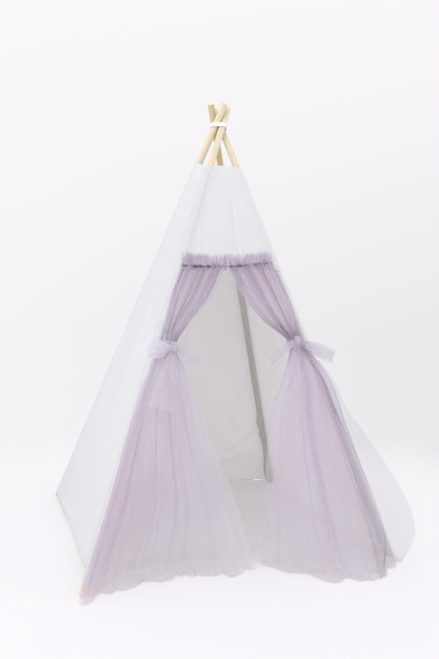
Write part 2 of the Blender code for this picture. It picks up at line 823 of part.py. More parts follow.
def make_curtains(carriers):
    sides = (
        ("left", -1, LEFT_ABOVE_TIE, LEFT_BELOW_TIE, LEFT_LOOPS, LEFT_TAILS),
        ("right", 1, RIGHT_ABOVE_TIE, RIGHT_BELOW_TIE, RIGHT_LOOPS, RIGHT_TAILS),
    )
    for side_name, side, above, below, loops, tails in sides:
        carrier = carriers["front_" + side_name]
        standoff = solve_tie_standoff(side, above, below)
        rows = outline_rows(side, above, below, standoff)
        print(side_name, "tie-back stands", round(standoff, 5), "in front of the poles")
        make_header(side, side_name + "_curtain_header", carrier)
        surface = curtain_surface(rows, side, PLEATS)
        grid = (PLEATS * FACES_PER_PLEAT, ROWS_ABOVE_TIE + ROWS_BELOW_TIE + 3)
        add_cloth(side_name + "_curtain", surface, grid, TULLE_THICKNESS, "tulle", carrier)
        make_tie_back(side_name, side, rows, standoff, loops, tails, carrier)
    overlay = curtain_surface(OVERLAY, 1, OVERLAY_PLEATS, tied=False)
    grid = (OVERLAY_PLEATS * FACES_PER_PLEAT, OVERLAY_ROWS)
    add_cloth("right_curtain_overlay", overlay, grid, TULLE_THICKNESS, "tulle", carriers["front_right"])


def footprint_middle():
    """The middle of the model's outline on the floor, overhanging cloth included."""
    depsgraph = bpy.context.evaluated_depsgraph_get()
    corners = []
    for obj in PARTS.objects:
        if obj.type == "MESH":
            shape = obj.evaluated_get(depsgraph)
            corners += [shape.matrix_world @ Vector(corner) for corner in shape.bound_box]
    low = Vector([min(corner[axis] for corner in corners) for axis in range(3)])
    high = Vector([max(corner[axis] for corner in corners) for axis in range(3)])
    return Vector(((low.x + high.x) / 2, (low.y + high.y) / 2, 0))


clear_scene()
PARTS = new_collection("play_tent")
GUIDES = new_collection("guides", hidden=True)

tent = add_empty("tent", location=PIVOT)
side_fold = add_empty("side_fold_pivot", tent)
front_fold_right = add_empty("front_fold_right_pivot", tent)
front_fold_left = add_empty("front_fold_left_pivot", side_fold)
CARRIERS = {
    "rear_right": tent,
    "rear_left": side_fold,
    "front_right": front_fold_right,
    "front_left": front_fold_left,
}

for corner_name, pole_carrier in CARRIERS.items():
    make_pole(corner_name, pole_carrier)
    make_sleeve(corner_name, pole_carrier)
make_lashing(tent)
make_panels(CARRIERS)
make_drawcord(front_fold_left)
make_curtains(CARRIERS)

bpy.context.view_layer.update()
tent.location -= footprint_middle()
bpy.context.view_layer.update()
print("tent axis at", [round(part, 6) for part in tent.location])
for label, moving, fixed in (
    ("side_fold", "rear_left", "rear_right"),
    ("front_fold", "front_right", "rear_right"),
    ("front_fold_left", "front_left", "rear_left"),
):
    print(label, [round(part, 6) for part in fold_axis(moving, fixed)])
for corner_name in CORNERS:
    print(corner_name, "foot", [round(part, 6) for part in foot(corner_name) + tent.location - PIVOT])
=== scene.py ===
"""Looks of the play tent: white canvas cover, pale wooden poles, lashing and tulle curtains.

Everything is in metres in the model's own frame: +Z up, the doorway towards -Y. A side is -1 for
the left curtain and 1 for the right one; "out" is the way from the tent's middle to that side."""

import json
from itertools import pairwise
from math import pi, radians, tau

import bpy
import numpy as np
from mathutils import Matrix, Vector
from numpy import clip, cos, linspace, meshgrid, sin


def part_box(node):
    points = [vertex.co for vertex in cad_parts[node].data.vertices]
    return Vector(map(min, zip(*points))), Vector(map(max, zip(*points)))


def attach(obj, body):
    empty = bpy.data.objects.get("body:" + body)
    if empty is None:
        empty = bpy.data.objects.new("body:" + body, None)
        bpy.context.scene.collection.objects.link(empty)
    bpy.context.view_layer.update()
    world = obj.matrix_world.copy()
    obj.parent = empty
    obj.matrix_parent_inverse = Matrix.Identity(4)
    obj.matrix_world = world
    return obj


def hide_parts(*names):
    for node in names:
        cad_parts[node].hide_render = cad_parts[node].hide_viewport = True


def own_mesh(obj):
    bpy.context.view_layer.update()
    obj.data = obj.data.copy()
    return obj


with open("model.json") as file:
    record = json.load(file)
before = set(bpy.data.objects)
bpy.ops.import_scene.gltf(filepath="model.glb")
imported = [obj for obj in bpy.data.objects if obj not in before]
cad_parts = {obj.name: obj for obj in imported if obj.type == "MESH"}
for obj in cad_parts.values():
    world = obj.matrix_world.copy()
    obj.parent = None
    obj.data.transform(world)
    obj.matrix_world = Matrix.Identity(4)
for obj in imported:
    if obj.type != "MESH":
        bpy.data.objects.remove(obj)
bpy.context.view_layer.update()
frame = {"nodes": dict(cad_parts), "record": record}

# ---- Sizes shared with the solids
RECORD = frame["record"]
FEET = {mount["name"].removesuffix("_foot"): np.array(mount["pos_m"]) for mount in RECORD["mounts"]}
CROSSING = np.array(RECORD["behaviour"]["joints"][0]["pos_m"])
TENT_AXIS = CROSSING * (1, 1, 0)
FRONT_MIDDLE = (FEET["front_left"] + FEET["front_right"]) / 2
UP = np.array((0.0, 0.0, 1.0))
SIDES = {-1: "left", 1: "right"}
POLE_RADIUS = 0.0125
POLE_CLEARANCE = 0.0006
SLEEVE_RADIUS = 0.0146
CANVAS_TOPS = {"front_left": 1.383, "front_right": 1.400, "rear_left": 1.421, "rear_right": 1.430}
SLEEVE_BOTTOMS = {"front_left": 0.030, "front_right": 0.004, "rear_left": 0.008, "rear_right": 0.008}
FRONT_HEM = 0.990
HEADER_TOP = 1.049
HEADER_BOTTOM = 0.990
CORD_HEIGHT = 1.0028
ROUND_THE_TENT = ("front_left", "front_right", "rear_right", "rear_left")


# ---- The poles' lines, as the solids have them
def unit(vector):
    return vector / np.linalg.norm(vector)


def level_axes(corner):
    """Level directions at a corner: away from the tent's axis, and round it."""
    radial = unit((FEET[corner] - TENT_AXIS) * (1, 1, 0))
    return radial, np.array((-radial[1], radial[0], 0))


def pole_lines(offset):
    """Each pole's direction when it passes the tent's axis at a small distance."""
    return {
        corner: unit(CROSSING + level_axes(corner)[1] * offset - foot) for corner, foot in FEET.items()
    }


def line_gap(lines, first, second):
    """How near two poles' middle lines pass."""
    apart = FEET[first] - FEET[second]
    return abs(apart @ unit(np.cross(lines[first], lines[second])))


def settle_crossing():
    """The poles' directions when neighbours just clear each other."""
    offset = 2 * POLE_RADIUS
    for _ in range(8):
        lines = pole_lines(offset)
        closest = min(line_gap(lines, *pair) for pair in pairwise((*ROUND_THE_TENT, ROUND_THE_TENT[0])))
        offset *= (2 * POLE_RADIUS + POLE_CLEARANCE) / closest
    return pole_lines(offset)


POLE_LINES = settle_crossing()


def on_pole(corner, height):
    """Points of a pole's middle line at given heights."""
    line = POLE_LINES[corner]
    return FEET[corner] + np.multiply.outer(np.asarray(height, float) / line[2], line)


def face_normal(first, second):
    """The outward normal of the face between two poles."""
    normal = unit(np.cross(POLE_LINES[first], POLE_LINES[second]))
    outward = (FEET[first] + FEET[second]) / 2 - TENT_AXIS
    return normal if normal @ outward > 0 else -normal


FORWARD = face_normal("front_left", "front_right")
FACE_UP = unit(np.cross(FORWARD, (1, 0, 0)))
HALF_DOORWAY = float(on_pole("front_right", HEADER_TOP)[0] - TENT_AXIS[0])


def front_point(out, height, forward, side):
    """Points before the doorway: out from the tent's middle, and forward of the front poles."""
    level = height - forward * FORWARD[2]
    left = on_pole("front_left", level)
    right = on_pole("front_right", level)
    share = 0.5 + side * out / (right[..., 0] - left[..., 0])
    return left + (right - left) * share[..., None] + np.multiply.outer(forward, FORWARD)


# ---- Smooth curves, the same at every run
def soft_noise(x, seed):
    """A smooth wandering line: three sines whose lengths don't fit each other."""
    rng = np.random.default_rng(seed)
    total = np.zeros_like(x)
    for rate in (1, 1.7, 1.7**2):
        total += sin(tau * (x * rate * rng.uniform(0.8, 1.2) + rng.uniform())) / rate
    return total / 3


def smooth_step(x, low, high):
    t = clip((x - low) / (high - low), 0, 1)
    return t * t * (3 - 2 * t)


def bump(x, place, width):
    """1 at a place, and falling off smoothly on both sides of it."""
    return np.exp(-(((x - place) / width) ** 2))


def inside_edges(u, margin):
    """0 at both edges of a cloth, and 1 further in than a margin."""
    return smooth_step(u, 0, margin) * smooth_step(1 - u, 0, margin)


def read_rows(rows, height):
    """Values between the rows of an outline, smoothly, at each height."""
    table = np.array(rows)[::-1]
    knots = table[:, 0]
    place = clip(np.searchsorted(knots, height) - 1, 0, len(knots) - 2)
    before, after = np.maximum(place - 1, 0), np.minimum(place + 2, len(knots) - 1)
    span = knots[place + 1] - knots[place]
    t = ((height - knots[place]) / span)[:, None]
    start, end = table[place, 1:], table[place + 1, 1:]
    slope_in = (end - table[before, 1:]) * (span / (knots[place + 1] - knots[before]))[:, None]
    slope_out = (table[after, 1:] - start) * (span / (knots[after] - knots[place]))[:, None]
    hermite = start * (2 * t**3 - 3 * t**2 + 1) + slope_in * (t**3 - 2 * t**2 + t)
    return hermite + end * (3 * t**2 - 2 * t**3) + slope_out * (t**3 - t**2)


# ---- Meshes
def make_mesh(name, points, faces, finish, uv=None):
    """A smooth piece; uv says where each point lies on the flat cloth."""
    mesh = bpy.data.meshes.new(name)
    mesh.from_pydata(points.reshape(-1, 3).tolist(), [], faces)
    if uv is not None:
        corners = np.empty(len(mesh.loops), np.int32)
        mesh.loops.foreach_get("vertex_index", corners)
        mesh.uv_layers.new(name="cloth").data.foreach_set("uv", uv.reshape(-1, 2)[corners].ravel())
    mesh.shade_smooth()
    mesh.materials.append(finish)
    piece = bpy.data.objects.new(name, mesh)
    bpy.context.scene.collection.objects.link(piece)
    return piece


def grid_faces(rows, columns, wrap=False):
    """Quads of a grid of points; with wrap, the last column joins the first."""
    faces = []
    for row in range(rows - 1):
        low, high = row * columns, (row + 1) * columns
        for column in range(columns if wrap else columns - 1):
            beside = (column + 1) % columns
            faces.append((low + column, low + beside, high + beside, high + column))
    return faces


def flat_places(rows, columns, size):
    """Where each point of a grid lies on the flat cloth; size is its width and length."""
    u, v = meshgrid(linspace(0, size[0], columns), linspace(0, size[1], rows))
    return np.stack((u, v), axis=-1)


def make_cloth(name, points, size, finish, wrap=False):
    """A sheet from a grid of points: rows, columns, and their three coordinates."""
    shape = points.shape[:2]
    return make_mesh(name, points, grid_faces(*shape, wrap), finish, flat_places(*shape, size))


def cloth_area(points):
    first = np.cross(points[1:, :-1] - points[:-1, :-1], points[:-1, 1:] - points[:-1, :-1])
    second = np.cross(points[1:, :-1] - points[1:, 1:], points[:-1, 1:] - points[1:, 1:])
    return float((np.linalg.norm(first, axis=-1) + np.linalg.norm(second, axis=-1)).sum() / 2)


def line_run(route):
    """How far along a line each of its points is."""
    return np.concatenate(([0], np.cumsum(np.linalg.norm(np.diff(route, axis=0), axis=1))))


def sweep(route, radius, sides, twist=0.0, orbit=0.0, start=0.0):
    """Rings of points round a line; orbit and twist wind the rings round it, as a strand."""
    ahead = np.gradient(route, axis=0)
    ahead /= np.linalg.norm(ahead, axis=1)[:, None]
    normal = np.zeros_like(route)
    guess = UP if abs(ahead[0, 2]) < 0.9 else np.array((0.0, 1.0, 0.0))
    for index, line in enumerate(ahead):
        guess = unit(guess - line * (guess @ line))
        normal[index] = guess
    beside = np.cross(ahead, normal)
    turn = (start + line_run(route) * twist)[:, None]
    centre = route + orbit * (normal * cos(turn) + beside * sin(turn))
    angles = linspace(0, tau, sides, endpoint=False)[None, :, None]
    ring = normal[:, None] * cos(angles) + beside[:, None] * sin(angles)
    radii = np.broadcast_to(np.asarray(radius, float), len(route))[:, None, None]
    return centre[:, None] + ring * radii


def tube_parts(rings):
    """Points and faces of a closed tube with flat ends."""
    rows, sides = rings.shape[:2]
    faces = grid_faces(rows, sides, wrap=True)
    faces.append(tuple(range(sides))[::-1])
    faces.append(tuple((rows - 1) * sides + i for i in range(sides)))
    return rings.reshape(-1, 3), faces


def join_parts(parts):
    points, faces = [], []
    for part_points, part_faces in parts:
        base = sum(len(done) for done in points)
        points.append(part_points)
        faces += [tuple(index + base for index in face) for face in part_faces]
    return np.concatenate(points), faces


def resample(route, spacing):
    """The same line with points at even distances, rounded between its corners."""
    run = line_run(route)
    steps = linspace(0, run[-1], max(3, round(run[-1] / spacing)))
    line = np.stack([np.interp(steps, run, route[:, axis]) for axis in range(3)], axis=1)
    for _ in range(2):
        line[1:-1] = (line[:-2] + 2 * line[1:-1] + line[2:]) / 4
    return line


# ---- Finishes
class Wire:
    """An output of a node; arithmetic on it adds Math nodes."""

    def __init__(self, finish, socket):
        self.finish = finish
        self.socket = socket

    def maths(self, operation, *values):
        return self.finish.node("Math", {"operation": operation}, dict(enumerate(values)))

    def __add__(self, other):
        return self.maths("ADD", self, other)

    def __sub__(self, other):
        return self.maths("SUBTRACT", self, other)

    def __rsub__(self, other):
        return self.maths("SUBTRACT", other, self)

    def __mul__(self, other):
        return self.maths("MULTIPLY", self, other)

    def __pow__(self, other):
        return self.maths("POWER", self, other)

    __radd__ = __add__
    __rmul__ = __mul__

    def sine(self):
        return self.maths("SINE", self)

    def absolute(self):
        return self.maths("ABSOLUTE", self)

    def within(self, low, high, curve="SMOOTHSTEP"):
        """0 below low, 1 above high, and a smooth or straight ramp between."""
        limits = {"Value": self, "From Min": low, "From Max": high}
        return self.finish.node("MapRange", {"interpolation_type": curve}, limits)

    def capped(self):
        """Kept between 0 and 1."""
        return self.finish.node("Math", {"operation": "ADD", "use_clamp": True}, {0: self, 1: 0.0})


class Finish:
    """The nodes of a new material, or of the world."""

    def __init__(self, owner):
        self.owner = bpy.data.materials.new(owner) if isinstance(owner, str) else owner
        self.owner.use_nodes = True
        self.tree = self.owner.node_tree
        self.tree.nodes.clear()

    def node(self, kind, settings=None, sockets=None, output=0):
        made = self.tree.nodes.new("ShaderNode" + kind)
        for name, value in (settings or {}).items():
            setattr(made, name, value)
        for name, value in (sockets or {}).items():
            if isinstance(value, Wire):
                self.tree.links.new(value.socket, made.inputs[name])
            else:
                made.inputs[name].default_value = value
        return Wire(self, made.outputs[output])

    def mix(self, share, first, second):
        """A colour between two colours."""
        return self.node("Mix", {"data_type": "RGBA"}, {0: share, 6: first, 7: second}, 2)

    def place(self):
        return self.node("TexCoord", output="Object")

    def split(self, vector):
        outputs = self.node("SeparateXYZ", None, {0: vector}).socket.node.outputs
        return [Wire(self, outputs[axis]) for axis in range(3)]

    def join(self, x, y, z=0.0):
        return self.node("CombineXYZ", None, {0: x, 1: y, 2: z})

    def on_cloth(self):
        """Where a point is on the flat cloth, in metres: across it, and along it."""
        return self.split(self.node("UVMap", {"uv_map": "cloth"}))[:2]

    def vector_maths(self, operation, *values):
        """A number from vectors, such as a length."""
        return self.node("VectorMath", {"operation": operation}, dict(enumerate(values)), "Value")

    def noise(self, place, scale=1.0, detail=2.0, roughness=0.5):
        vector = self.join(*place) if isinstance(place, tuple) else place
        sockets = {"Vector": vector, "Scale": scale, "Detail": detail, "Roughness": roughness}
        return self.node("TexNoise", None, sockets)

    def streaks(self, place, low, high, detail=1.0):
        """1 in the streaks that a stretched noise makes, and 0 between them."""
        return self.noise(place, detail=detail).within(low, high)

    def bump(self, height, distance, strength, normal=None):
        sockets = {"Height": height, "Distance": distance, "Strength": strength}
        return self.node("Bump", None, sockets | ({"Normal": normal} if normal else {}))

    def principled(self, tone, roughness, normal, **others):
        """The main shader; its other sockets go by their names, with _ for a space."""
        sockets = {"Base Color": tone, "Roughness": roughness, "Normal": normal}
        sockets |= {name.replace("_", " "): value for name, value in others.items()}
        return self.node("BsdfPrincipled", None, sockets)

    def mix_shader(self, share, first, second):
        return self.node("MixShader", None, {0: share, 1: first, 2: second})

    def seen_directly(self):
        """1 for what the camera sees, in mirrors and through glass too."""
        outputs = self.node("LightPath").socket.node.outputs
        names = ("Is Camera Ray", "Is Glossy Ray", "Is Transmission Ray")
        camera, glossy, transmission = (Wire(self, outputs[name]) for name in names)
        return (camera + glossy + transmission).capped()

    def output(self, shader, kind="OutputMaterial"):
        end = self.tree.nodes.new("ShaderNode" + kind)
        self.tree.links.new(shader.socket, end.inputs["Surface"])
        return self.owner


def colour(red, green, blue):
    """A colour as seen on a screen, 0 to 255, as the renderer wants it."""
    parts = [part / 255 for part in (red, green, blue)]
    linear = [part / 12.92 if part <= 0.04045 else ((part + 0.055) / 1.055) ** 2.4 for part in parts]
    return (*linear, 1.0)


CANVAS_LIGHT = colour(244, 245, 249)
CANVAS_SHADE = colour(237, 238, 243)
CANVAS_GLOW = colour(248, 243, 236)
CANVAS_SEAM = colour(190, 188, 192)
# Dark colour of the hem line: partly stitching, partly painted contact shadow.
CANVAS_HEM_SHADOW = colour(128, 122, 118)
# Colour of the painted shade on the inner side of the rear sleeves.
SLEEVE_PAINTED_SHADE = colour(212, 208, 201)
SLEEVE_CLOTH = 0.092
HEM_WIDTH = 0.020
THREAD_TURN = tau * 900
STITCH_TURN = tau * 260


def canvas_finish(
    name, light=CANVAS_LIGHT, shade=CANVAS_SHADE, see_through=0.31, hem_shadow_line=0.0, sleeve=False
):
    """Plain-woven white cotton, a little light coming through it. The hem argument says how dark its
    lower edge is drawn: a dashed line, partly stitching and partly painted contact shadow. A rear
    sleeve gets painted shade low down on the side that faces into the tent."""
    finish = Finish(name)
    across, along = finish.on_cloth()
    weave = (across * THREAD_TURN).sine() * (along * THREAD_TURN).sine()
    slubs = finish.noise((across * 40, along * 900), detail=3.0)
    creases = finish.noise((across, along), scale=7.0, detail=3.0, roughness=0.45)
    patches = finish.noise((across, along), scale=2.2)
    from_seam = (along - HEM_WIDTH).absolute()
    stitch = (1.0 - from_seam.within(0.0003, 0.0008)) * (across * STITCH_TURN).sine().within(-0.2, 0.2)
    fold = 1.0 - along.within(HEM_WIDTH, HEM_WIDTH + 0.0015)
    tone = finish.mix((patches * 0.6 + slubs * 0.4).within(0.3, 0.7), shade, light)
    tone = finish.mix(stitch * 0.25 + fold * 0.06, tone, CANVAS_SEAM)
    # A dark dashed line at the very foot: partly a stitched edge, partly a painted contact shadow with
    # the floor.
    if hem_shadow_line:
        dashes = finish.streaks((across * 28, 0.3), 0.36, 0.46)
        edge = (1.0 - along.within(0.002, 0.007)) * dashes * hem_shadow_line
        tone = finish.mix(edge, tone, CANVAS_HEM_SHADOW)
    # Painted shade: the side of a rear sleeve that faces into the tent is drawn darker low down.
    if sleeve:
        inside = 1.0 - (across - SLEEVE_CLOTH / 2).absolute().within(0.014, 0.024)
        low = 1.0 - along.within(0.75, 1.15)
        tone = finish.mix(inside * low, tone, SLEEVE_PAINTED_SHADE)
    normal = finish.bump(creases, 0.006, 0.5)
    normal = finish.bump(fold - stitch * 0.6, 0.0012, 0.6, normal)
    normal = finish.bump(weave + slubs, 0.00012, 0.35, normal)
    cloth = finish.principled(tone, 0.88, normal, Sheen_Weight=0.15, Specular_IOR_Level=0.2)
    glow = finish.node("BsdfTranslucent", None, {"Color": CANVAS_GLOW})
    return finish.output(finish.mix_shader(see_through, cloth, glow))


TULLE_TINT = colour(230, 220, 234)
TULLE_DEEP = colour(204, 188, 210)
TULLE_WARM = colour(222, 198, 208)
# Colour of the painted highlights on the curtains.
TULLE_PAINTED_HIGHLIGHT = colour(223, 216, 239)
TULLE_PALE = colour(240, 237, 244)
# Dark colour of the painted shade in the gathers.
GATHER_SHADOW = colour(118, 90, 122)
# Colour of the painted shade in the heading's puffs.
HEADER_SHADE = colour(184, 168, 190)
HEADER_LENGTH = 0.130
MESHES_PER_METRE = 620.0
# Further along than any of the cloth, in metres.
NEVER = 9.0


def curtain_look(finish, across, along, tone, alpha, flush, shares):
    """Painted highlights along the folds, painted shade in the gathers at the tie, and a paler, thinner
    foot. The shares say how dense the top is, how much the outer edge shows the warm colour, and how
    pale the inner edge is."""
    top_share, outer_share, inner_share = shares
    hung = along.within(0.40, 1.02)
    inner = (across + (along - 0.62) * 0.6).within(0.20, 0.34) * hung
    outer = (1.0 - across.within(0.03, 0.10)) * along.within(0.45, 0.60)
    flush = (flush + outer * outer_share).capped()
    # Painted highlights: pale lavender streaks down the folds.
    painted_highlight = finish.streaks((across * 17 + 7.0, along * 0.5), 0.53, 0.63) * along.within(0.30, 0.45)
    tone = finish.mix(painted_highlight * 0.6, tone, TULLE_PAINTED_HIGHLIGHT)
    # Painted shade in the gathers near the tie; they are also drawn a little denser.
    near_tie = along.within(0.12, 0.30) * (1.0 - along.within(0.31, 0.38))
    drawn = finish.streaks((across * 95 - along * 30, along * 1.2), 0.54, 0.64) * near_tie
    tone = finish.mix(drawn * 0.50, tone, GATHER_SHADOW)
    pale = (inner * inner_share + along.within(0.80, 1.03) * 0.45).capped()
    tone = finish.mix(pale, tone, TULLE_PALE)
    alpha = (alpha + drawn * 0.14) * (
        top_share - hung * (top_share - 0.86) - along.within(0.86, 1.03) * 0.20
    )
    return tone, alpha + outer * (outer_share * 0.08) + pale * 0.06, flush


def header_look(finish, across, along, tone, alpha):
    """Puffs over the elastic streaked with painted shade, a top drawn paler as painted light, and
    painted shadow along the gathers on both sides of the cloth.
    """
    from_top = (along - HEADER_LENGTH / 2).absolute()
    # Painted shade in streaks between the puffs.
    puffs = finish.streaks((across * 52 + along * 18, along * 22), 0.44, 0.60)
    tone = finish.mix(puffs * 0.9, tone, HEADER_SHADE)
    lump = 1.0 - across.within(0.006, 0.016)
    alpha = (alpha + puffs * 0.05) * (from_top.within(0.0, 0.014) * 0.5 + 0.5) + lump * 0.12
    # Painted light: the top of the heading is drawn paler.
    upper = 1.0 - from_top.within(0.0, 0.040)
    tone = finish.mix(upper * 0.35, tone, TULLE_PALE)
    tone = finish.mix(lump * 0.9, tone, TULLE_PALE)
    # Painted shadow along the elastic's gather line on both sides of the cloth, drawn a little denser
    # too.
    patch = finish.streaks((across * 40, 0.5), 0.32, 0.56, 2.0) * (1.0 - lump)
    from_cord = (from_top - 0.40 * HEADER_LENGTH).absolute()
    drawn = (patch * 1.3 - from_cord * (1.0 / 0.0070)).within(0.0, 0.6)
    tone = finish.mix(drawn.capped(), tone, GATHER_SHADOW)
    return tone, (alpha + drawn * 0.35).capped()


def tulle_finish(
    name, tint, deep, opacity, streak=0.05, warmth=0.7, smooth_from=NEVER, curtain=None, header=False
):
    """Fine sheer net that lets light through, a little denser in streaks along the folds. Its fine
    pleats fade out from smooth_from on."""
    finish = Finish(name + "_tulle")
    across, along = finish.on_cloth()
    broad = finish.noise((across * 6, along * 0.5))
    fine = finish.noise((across * 80, along * 1.5), detail=1.0)
    pleated = 1.0 - along.within(smooth_from, smooth_from + 0.10)
    net = finish.node(
        "TexVoronoi",
        {"feature": "DISTANCE_TO_EDGE", "voronoi_dimensions": "2D"},
        {"Vector": finish.join(across, along), "Scale": MESHES_PER_METRE},
    )
    strands = 1.0 - net.within(0.03, 0.16)
    folds = (broad * 0.7 + fine * pleated * 0.3 + (1.0 - pleated) * 0.15).within(0.30, 0.70)
    alpha = (folds * (2 * streak) + (opacity - streak) + strands * 0.06).capped()
    flush = finish.streaks((across * 4 + 3.0, along * 0.6), 0.45, 0.70)
    tone = finish.mix(folds * 0.7, tint, deep)
    if curtain:
        tone, alpha, flush = curtain_look(finish, across, along, tone, alpha, flush, curtain)
    tone = finish.mix(flush * warmth, tone, TULLE_WARM)
    if header:
        tone, alpha = header_look(finish, across, along, tone, alpha)
    normal = finish.bump(fine * pleated + strands * 0.3, 0.0006, 0.25)
    cloth = finish.principled(
        tone, 0.6, normal, Alpha=alpha, Sheen_Weight=0.3, Sheen_Roughness=0.4, Specular_IOR_Level=0.2
    )
    glow = finish.node("BsdfTranslucent", None, {"Color": tint})
    return finish.output(finish.mix_shader(alpha * 0.45, cloth, glow))


WOOD_PALE = (colour(240, 230, 210), colour(233, 219, 192), colour(212, 188, 146))
# A darker copy of the same pine for the rear-right pole: painted shade, as that pole stands in the
# tent's shade.
WOOD_SHADED = (colour(228, 211, 174), colour(214, 193, 149), colour(184, 153, 100))


def wood_finish(corner):
    """Pale sanded pine: straight grain along the pole, rings on its sawn ends."""
    finish = Finish("pine_" + corner)
    line = POLE_LINES[corner]
    side = unit(np.cross(line, UP))
    place = finish.place()
    x, y, z = (
        finish.vector_maths("DOT_PRODUCT", place, tuple(axis)) + float(-FEET[corner] @ axis)
        for axis in (side, np.cross(line, side), line)
    )
    wander = finish.noise((x * 30, y * 30, z * 1.6))
    from_heart = finish.vector_maths("LENGTH", finish.join(x + 0.012, y + 0.007))
    rings = ((from_heart * 520.0 + wander * 5.0) * pi).sine() * 0.5 + 0.5
    fibres = finish.noise((x * 900, y * 900, z * 14), detail=3.0)
    figure = (rings**2 * 0.6 + fibres * 0.4).capped()
    # Painted shade: the rear-right pole takes the darker copy of the pine.
    light, shade, dark = WOOD_SHADED if corner == "rear_right" else WOOD_PALE
    pale = finish.mix(finish.noise((x * 20, y * 20, z * 3)), light, shade)
    tone = finish.mix(figure * 0.55, pale, dark)
    normal = finish.bump(fibres, 0.0002, 0.3)
    return finish.output(finish.principled(tone, fibres * 0.2 + 0.42, normal, Specular_IOR_Level=0.35))


def cord_finish(name, tint, deep):
    """Soft twisted cotton."""
    finish = Finish(name)
    fuzz = finish.noise(finish.place(), scale=900.0, detail=3.0)
    tone = finish.mix(fuzz, tint, deep)
    return finish.output(finish.principled(tone, 0.8, finish.bump(fuzz, 0.0003, 0.3), Sheen_Weight=0.4))


# ---- Studio
PICTURE_HEIGHT = 659
FOCAL_PIXELS = 545
SENSOR = 36
CAMERA_PLACE = np.array((-0.7265, -2.035, 0.7572)) + TENT_AXIS
CAMERA_YAW, CAMERA_PITCH, CAMERA_ROLL = (radians(angle) for angle in (20.54, 0.126, 2.127))
BACKGROUND_LEFT = colour(245, 243, 246)
BACKGROUND_RIGHT = colour(233, 232, 235)
BACKGROUND_TOP = colour(253, 250, 253)
WORLD_TINT = (0.98, 0.985, 1.0, 1)
WORLD_LIGHT = 0.85
FLOOR_PLAIN = (0.80, 0.80, 0.81, 1)
FLOOR_SHADED = (0.52, 0.51, 0.52, 1)
FLOOR_GLOW = (0.405, 0.398, 0.408, 1)
FLOOR_GLOW_INSIDE = (0.232, 0.214, 0.223, 1)
FLOOR_SOLID = 1.1
FLOOR_REACH = 2.4
LAMP_AIM = Vector((0, 0, 0.7))
LAMPS = (
    ("key_lamp", (-2.6, -3.2, 3.4), 3.0, 64.0),
    ("side_lamp", (3.4, -1.2, 2.6), 2.6, 19.0),
    ("left_lamp", (-3.6, 0.6, 2.0), 2.6, 15.0),
)


def make_camera():
    """The camera at the photograph's viewing angle."""
    camera = bpy.data.cameras.new("camera")
    camera.sensor_width = SENSOR
    camera.lens = FOCAL_PIXELS / PICTURE_HEIGHT * SENSOR
    camera.clip_start = 0.05
    holder = bpy.data.objects.new("camera", camera)
    placed = Matrix.Translation(CAMERA_PLACE)
    for angle, axis in ((-CAMERA_YAW, "Z"), (pi / 2 + CAMERA_PITCH, "X"), (CAMERA_ROLL, "Z")):
        placed = placed @ Matrix.Rotation(angle, 4, axis)
    holder.matrix_world = placed
    bpy.context.scene.collection.objects.link(holder)
    bpy.context.scene.camera = holder


def make_world():
    """A backdrop, paler at the left and above, and even pale light on everything else."""
    world = bpy.data.worlds.new("studio")
    bpy.context.scene.world = world
    sky = Finish(world)
    x, _, z = sky.split(sky.node("TexCoord", output="Generated"))
    level = sky.mix(x.within(-0.1, 0.75, "LINEAR"), BACKGROUND_LEFT, BACKGROUND_RIGHT)
    shown = sky.mix(z.within(0.0, 0.65, "LINEAR"), level, BACKGROUND_TOP)
    backdrop = sky.node("Background", None, {"Color": shown, "Strength": 1.0})
    light = sky.node("Background", None, {"Color": WORLD_TINT, "Strength": WORLD_LIGHT})
    sky.output(sky.mix_shader(sky.seen_directly(), light, backdrop), "OutputWorld")


def make_lamps():
    for name, place, size, power in LAMPS:
        lamp = bpy.data.lights.new(name, "AREA")
        lamp.size = size
        lamp.energy = power
        holder = bpy.data.objects.new(name, lamp)
        holder.location = place
        holder.rotation_euler = (LAMP_AIM - Vector(place)).to_track_quat("-Z", "Y").to_euler()
        bpy.context.scene.collection.objects.link(holder)


def floor_finish():
    """A pale studio floor: soft shade under the tent, fading out into the white around it."""
    finish = Finish("studio_floor")
    x, y, _ = finish.split(finish.place())
    reach = finish.vector_maths("LENGTH", finish.join(x, y))
    plain = finish.node("BsdfDiffuse", None, {"Color": FLOOR_PLAIN})
    lit = finish.node("BsdfDiffuse", None, {"Color": FLOOR_SHADED})
    dim, bright = (
        finish.node("Emission", None, {"Color": glow, "Strength": 1.0})
        for glow in (FLOOR_GLOW_INSIDE, FLOOR_GLOW)
    )
    open_sky = finish.node("AmbientOcclusion", {"samples": 8}, {"Distance": 1.6}, "AO")
    glow = finish.mix_shader(open_sky.within(0.10, 0.50), dim, bright)
    shown = finish.node("AddShader", None, {0: lit, 1: glow})
    both = finish.mix_shader(finish.seen_directly(), plain, shown)
    clear = finish.node("BsdfTransparent")
    return finish.output(finish.mix_shader(reach.within(FLOOR_SOLID, FLOOR_REACH), both, clear))


def make_floor():
    reach = FLOOR_REACH + 0.1
    points = np.array([(-reach, -reach, 0), (reach, -reach, 0), (reach, reach, 0), (-reach, reach, 0)])
    floor = make_mesh("floor", points - (0, 0, 0.0005), [(0, 1, 2, 3)], floor_finish())


# ---- Canvas cover
SIDE_HEM_REAR = 0.020
SIDE_HEM_FRONT = 0.066
RIGHT_HEM = 0.0012
REAR_HEM = 0.0002
REAR_HEM_RISE = 0.006
REAR_FLARE = 0.034
BASE_WIDTH = 1.04
CANVAS_LIFT = 0.0012
LAP_DEPTH = 0.0006


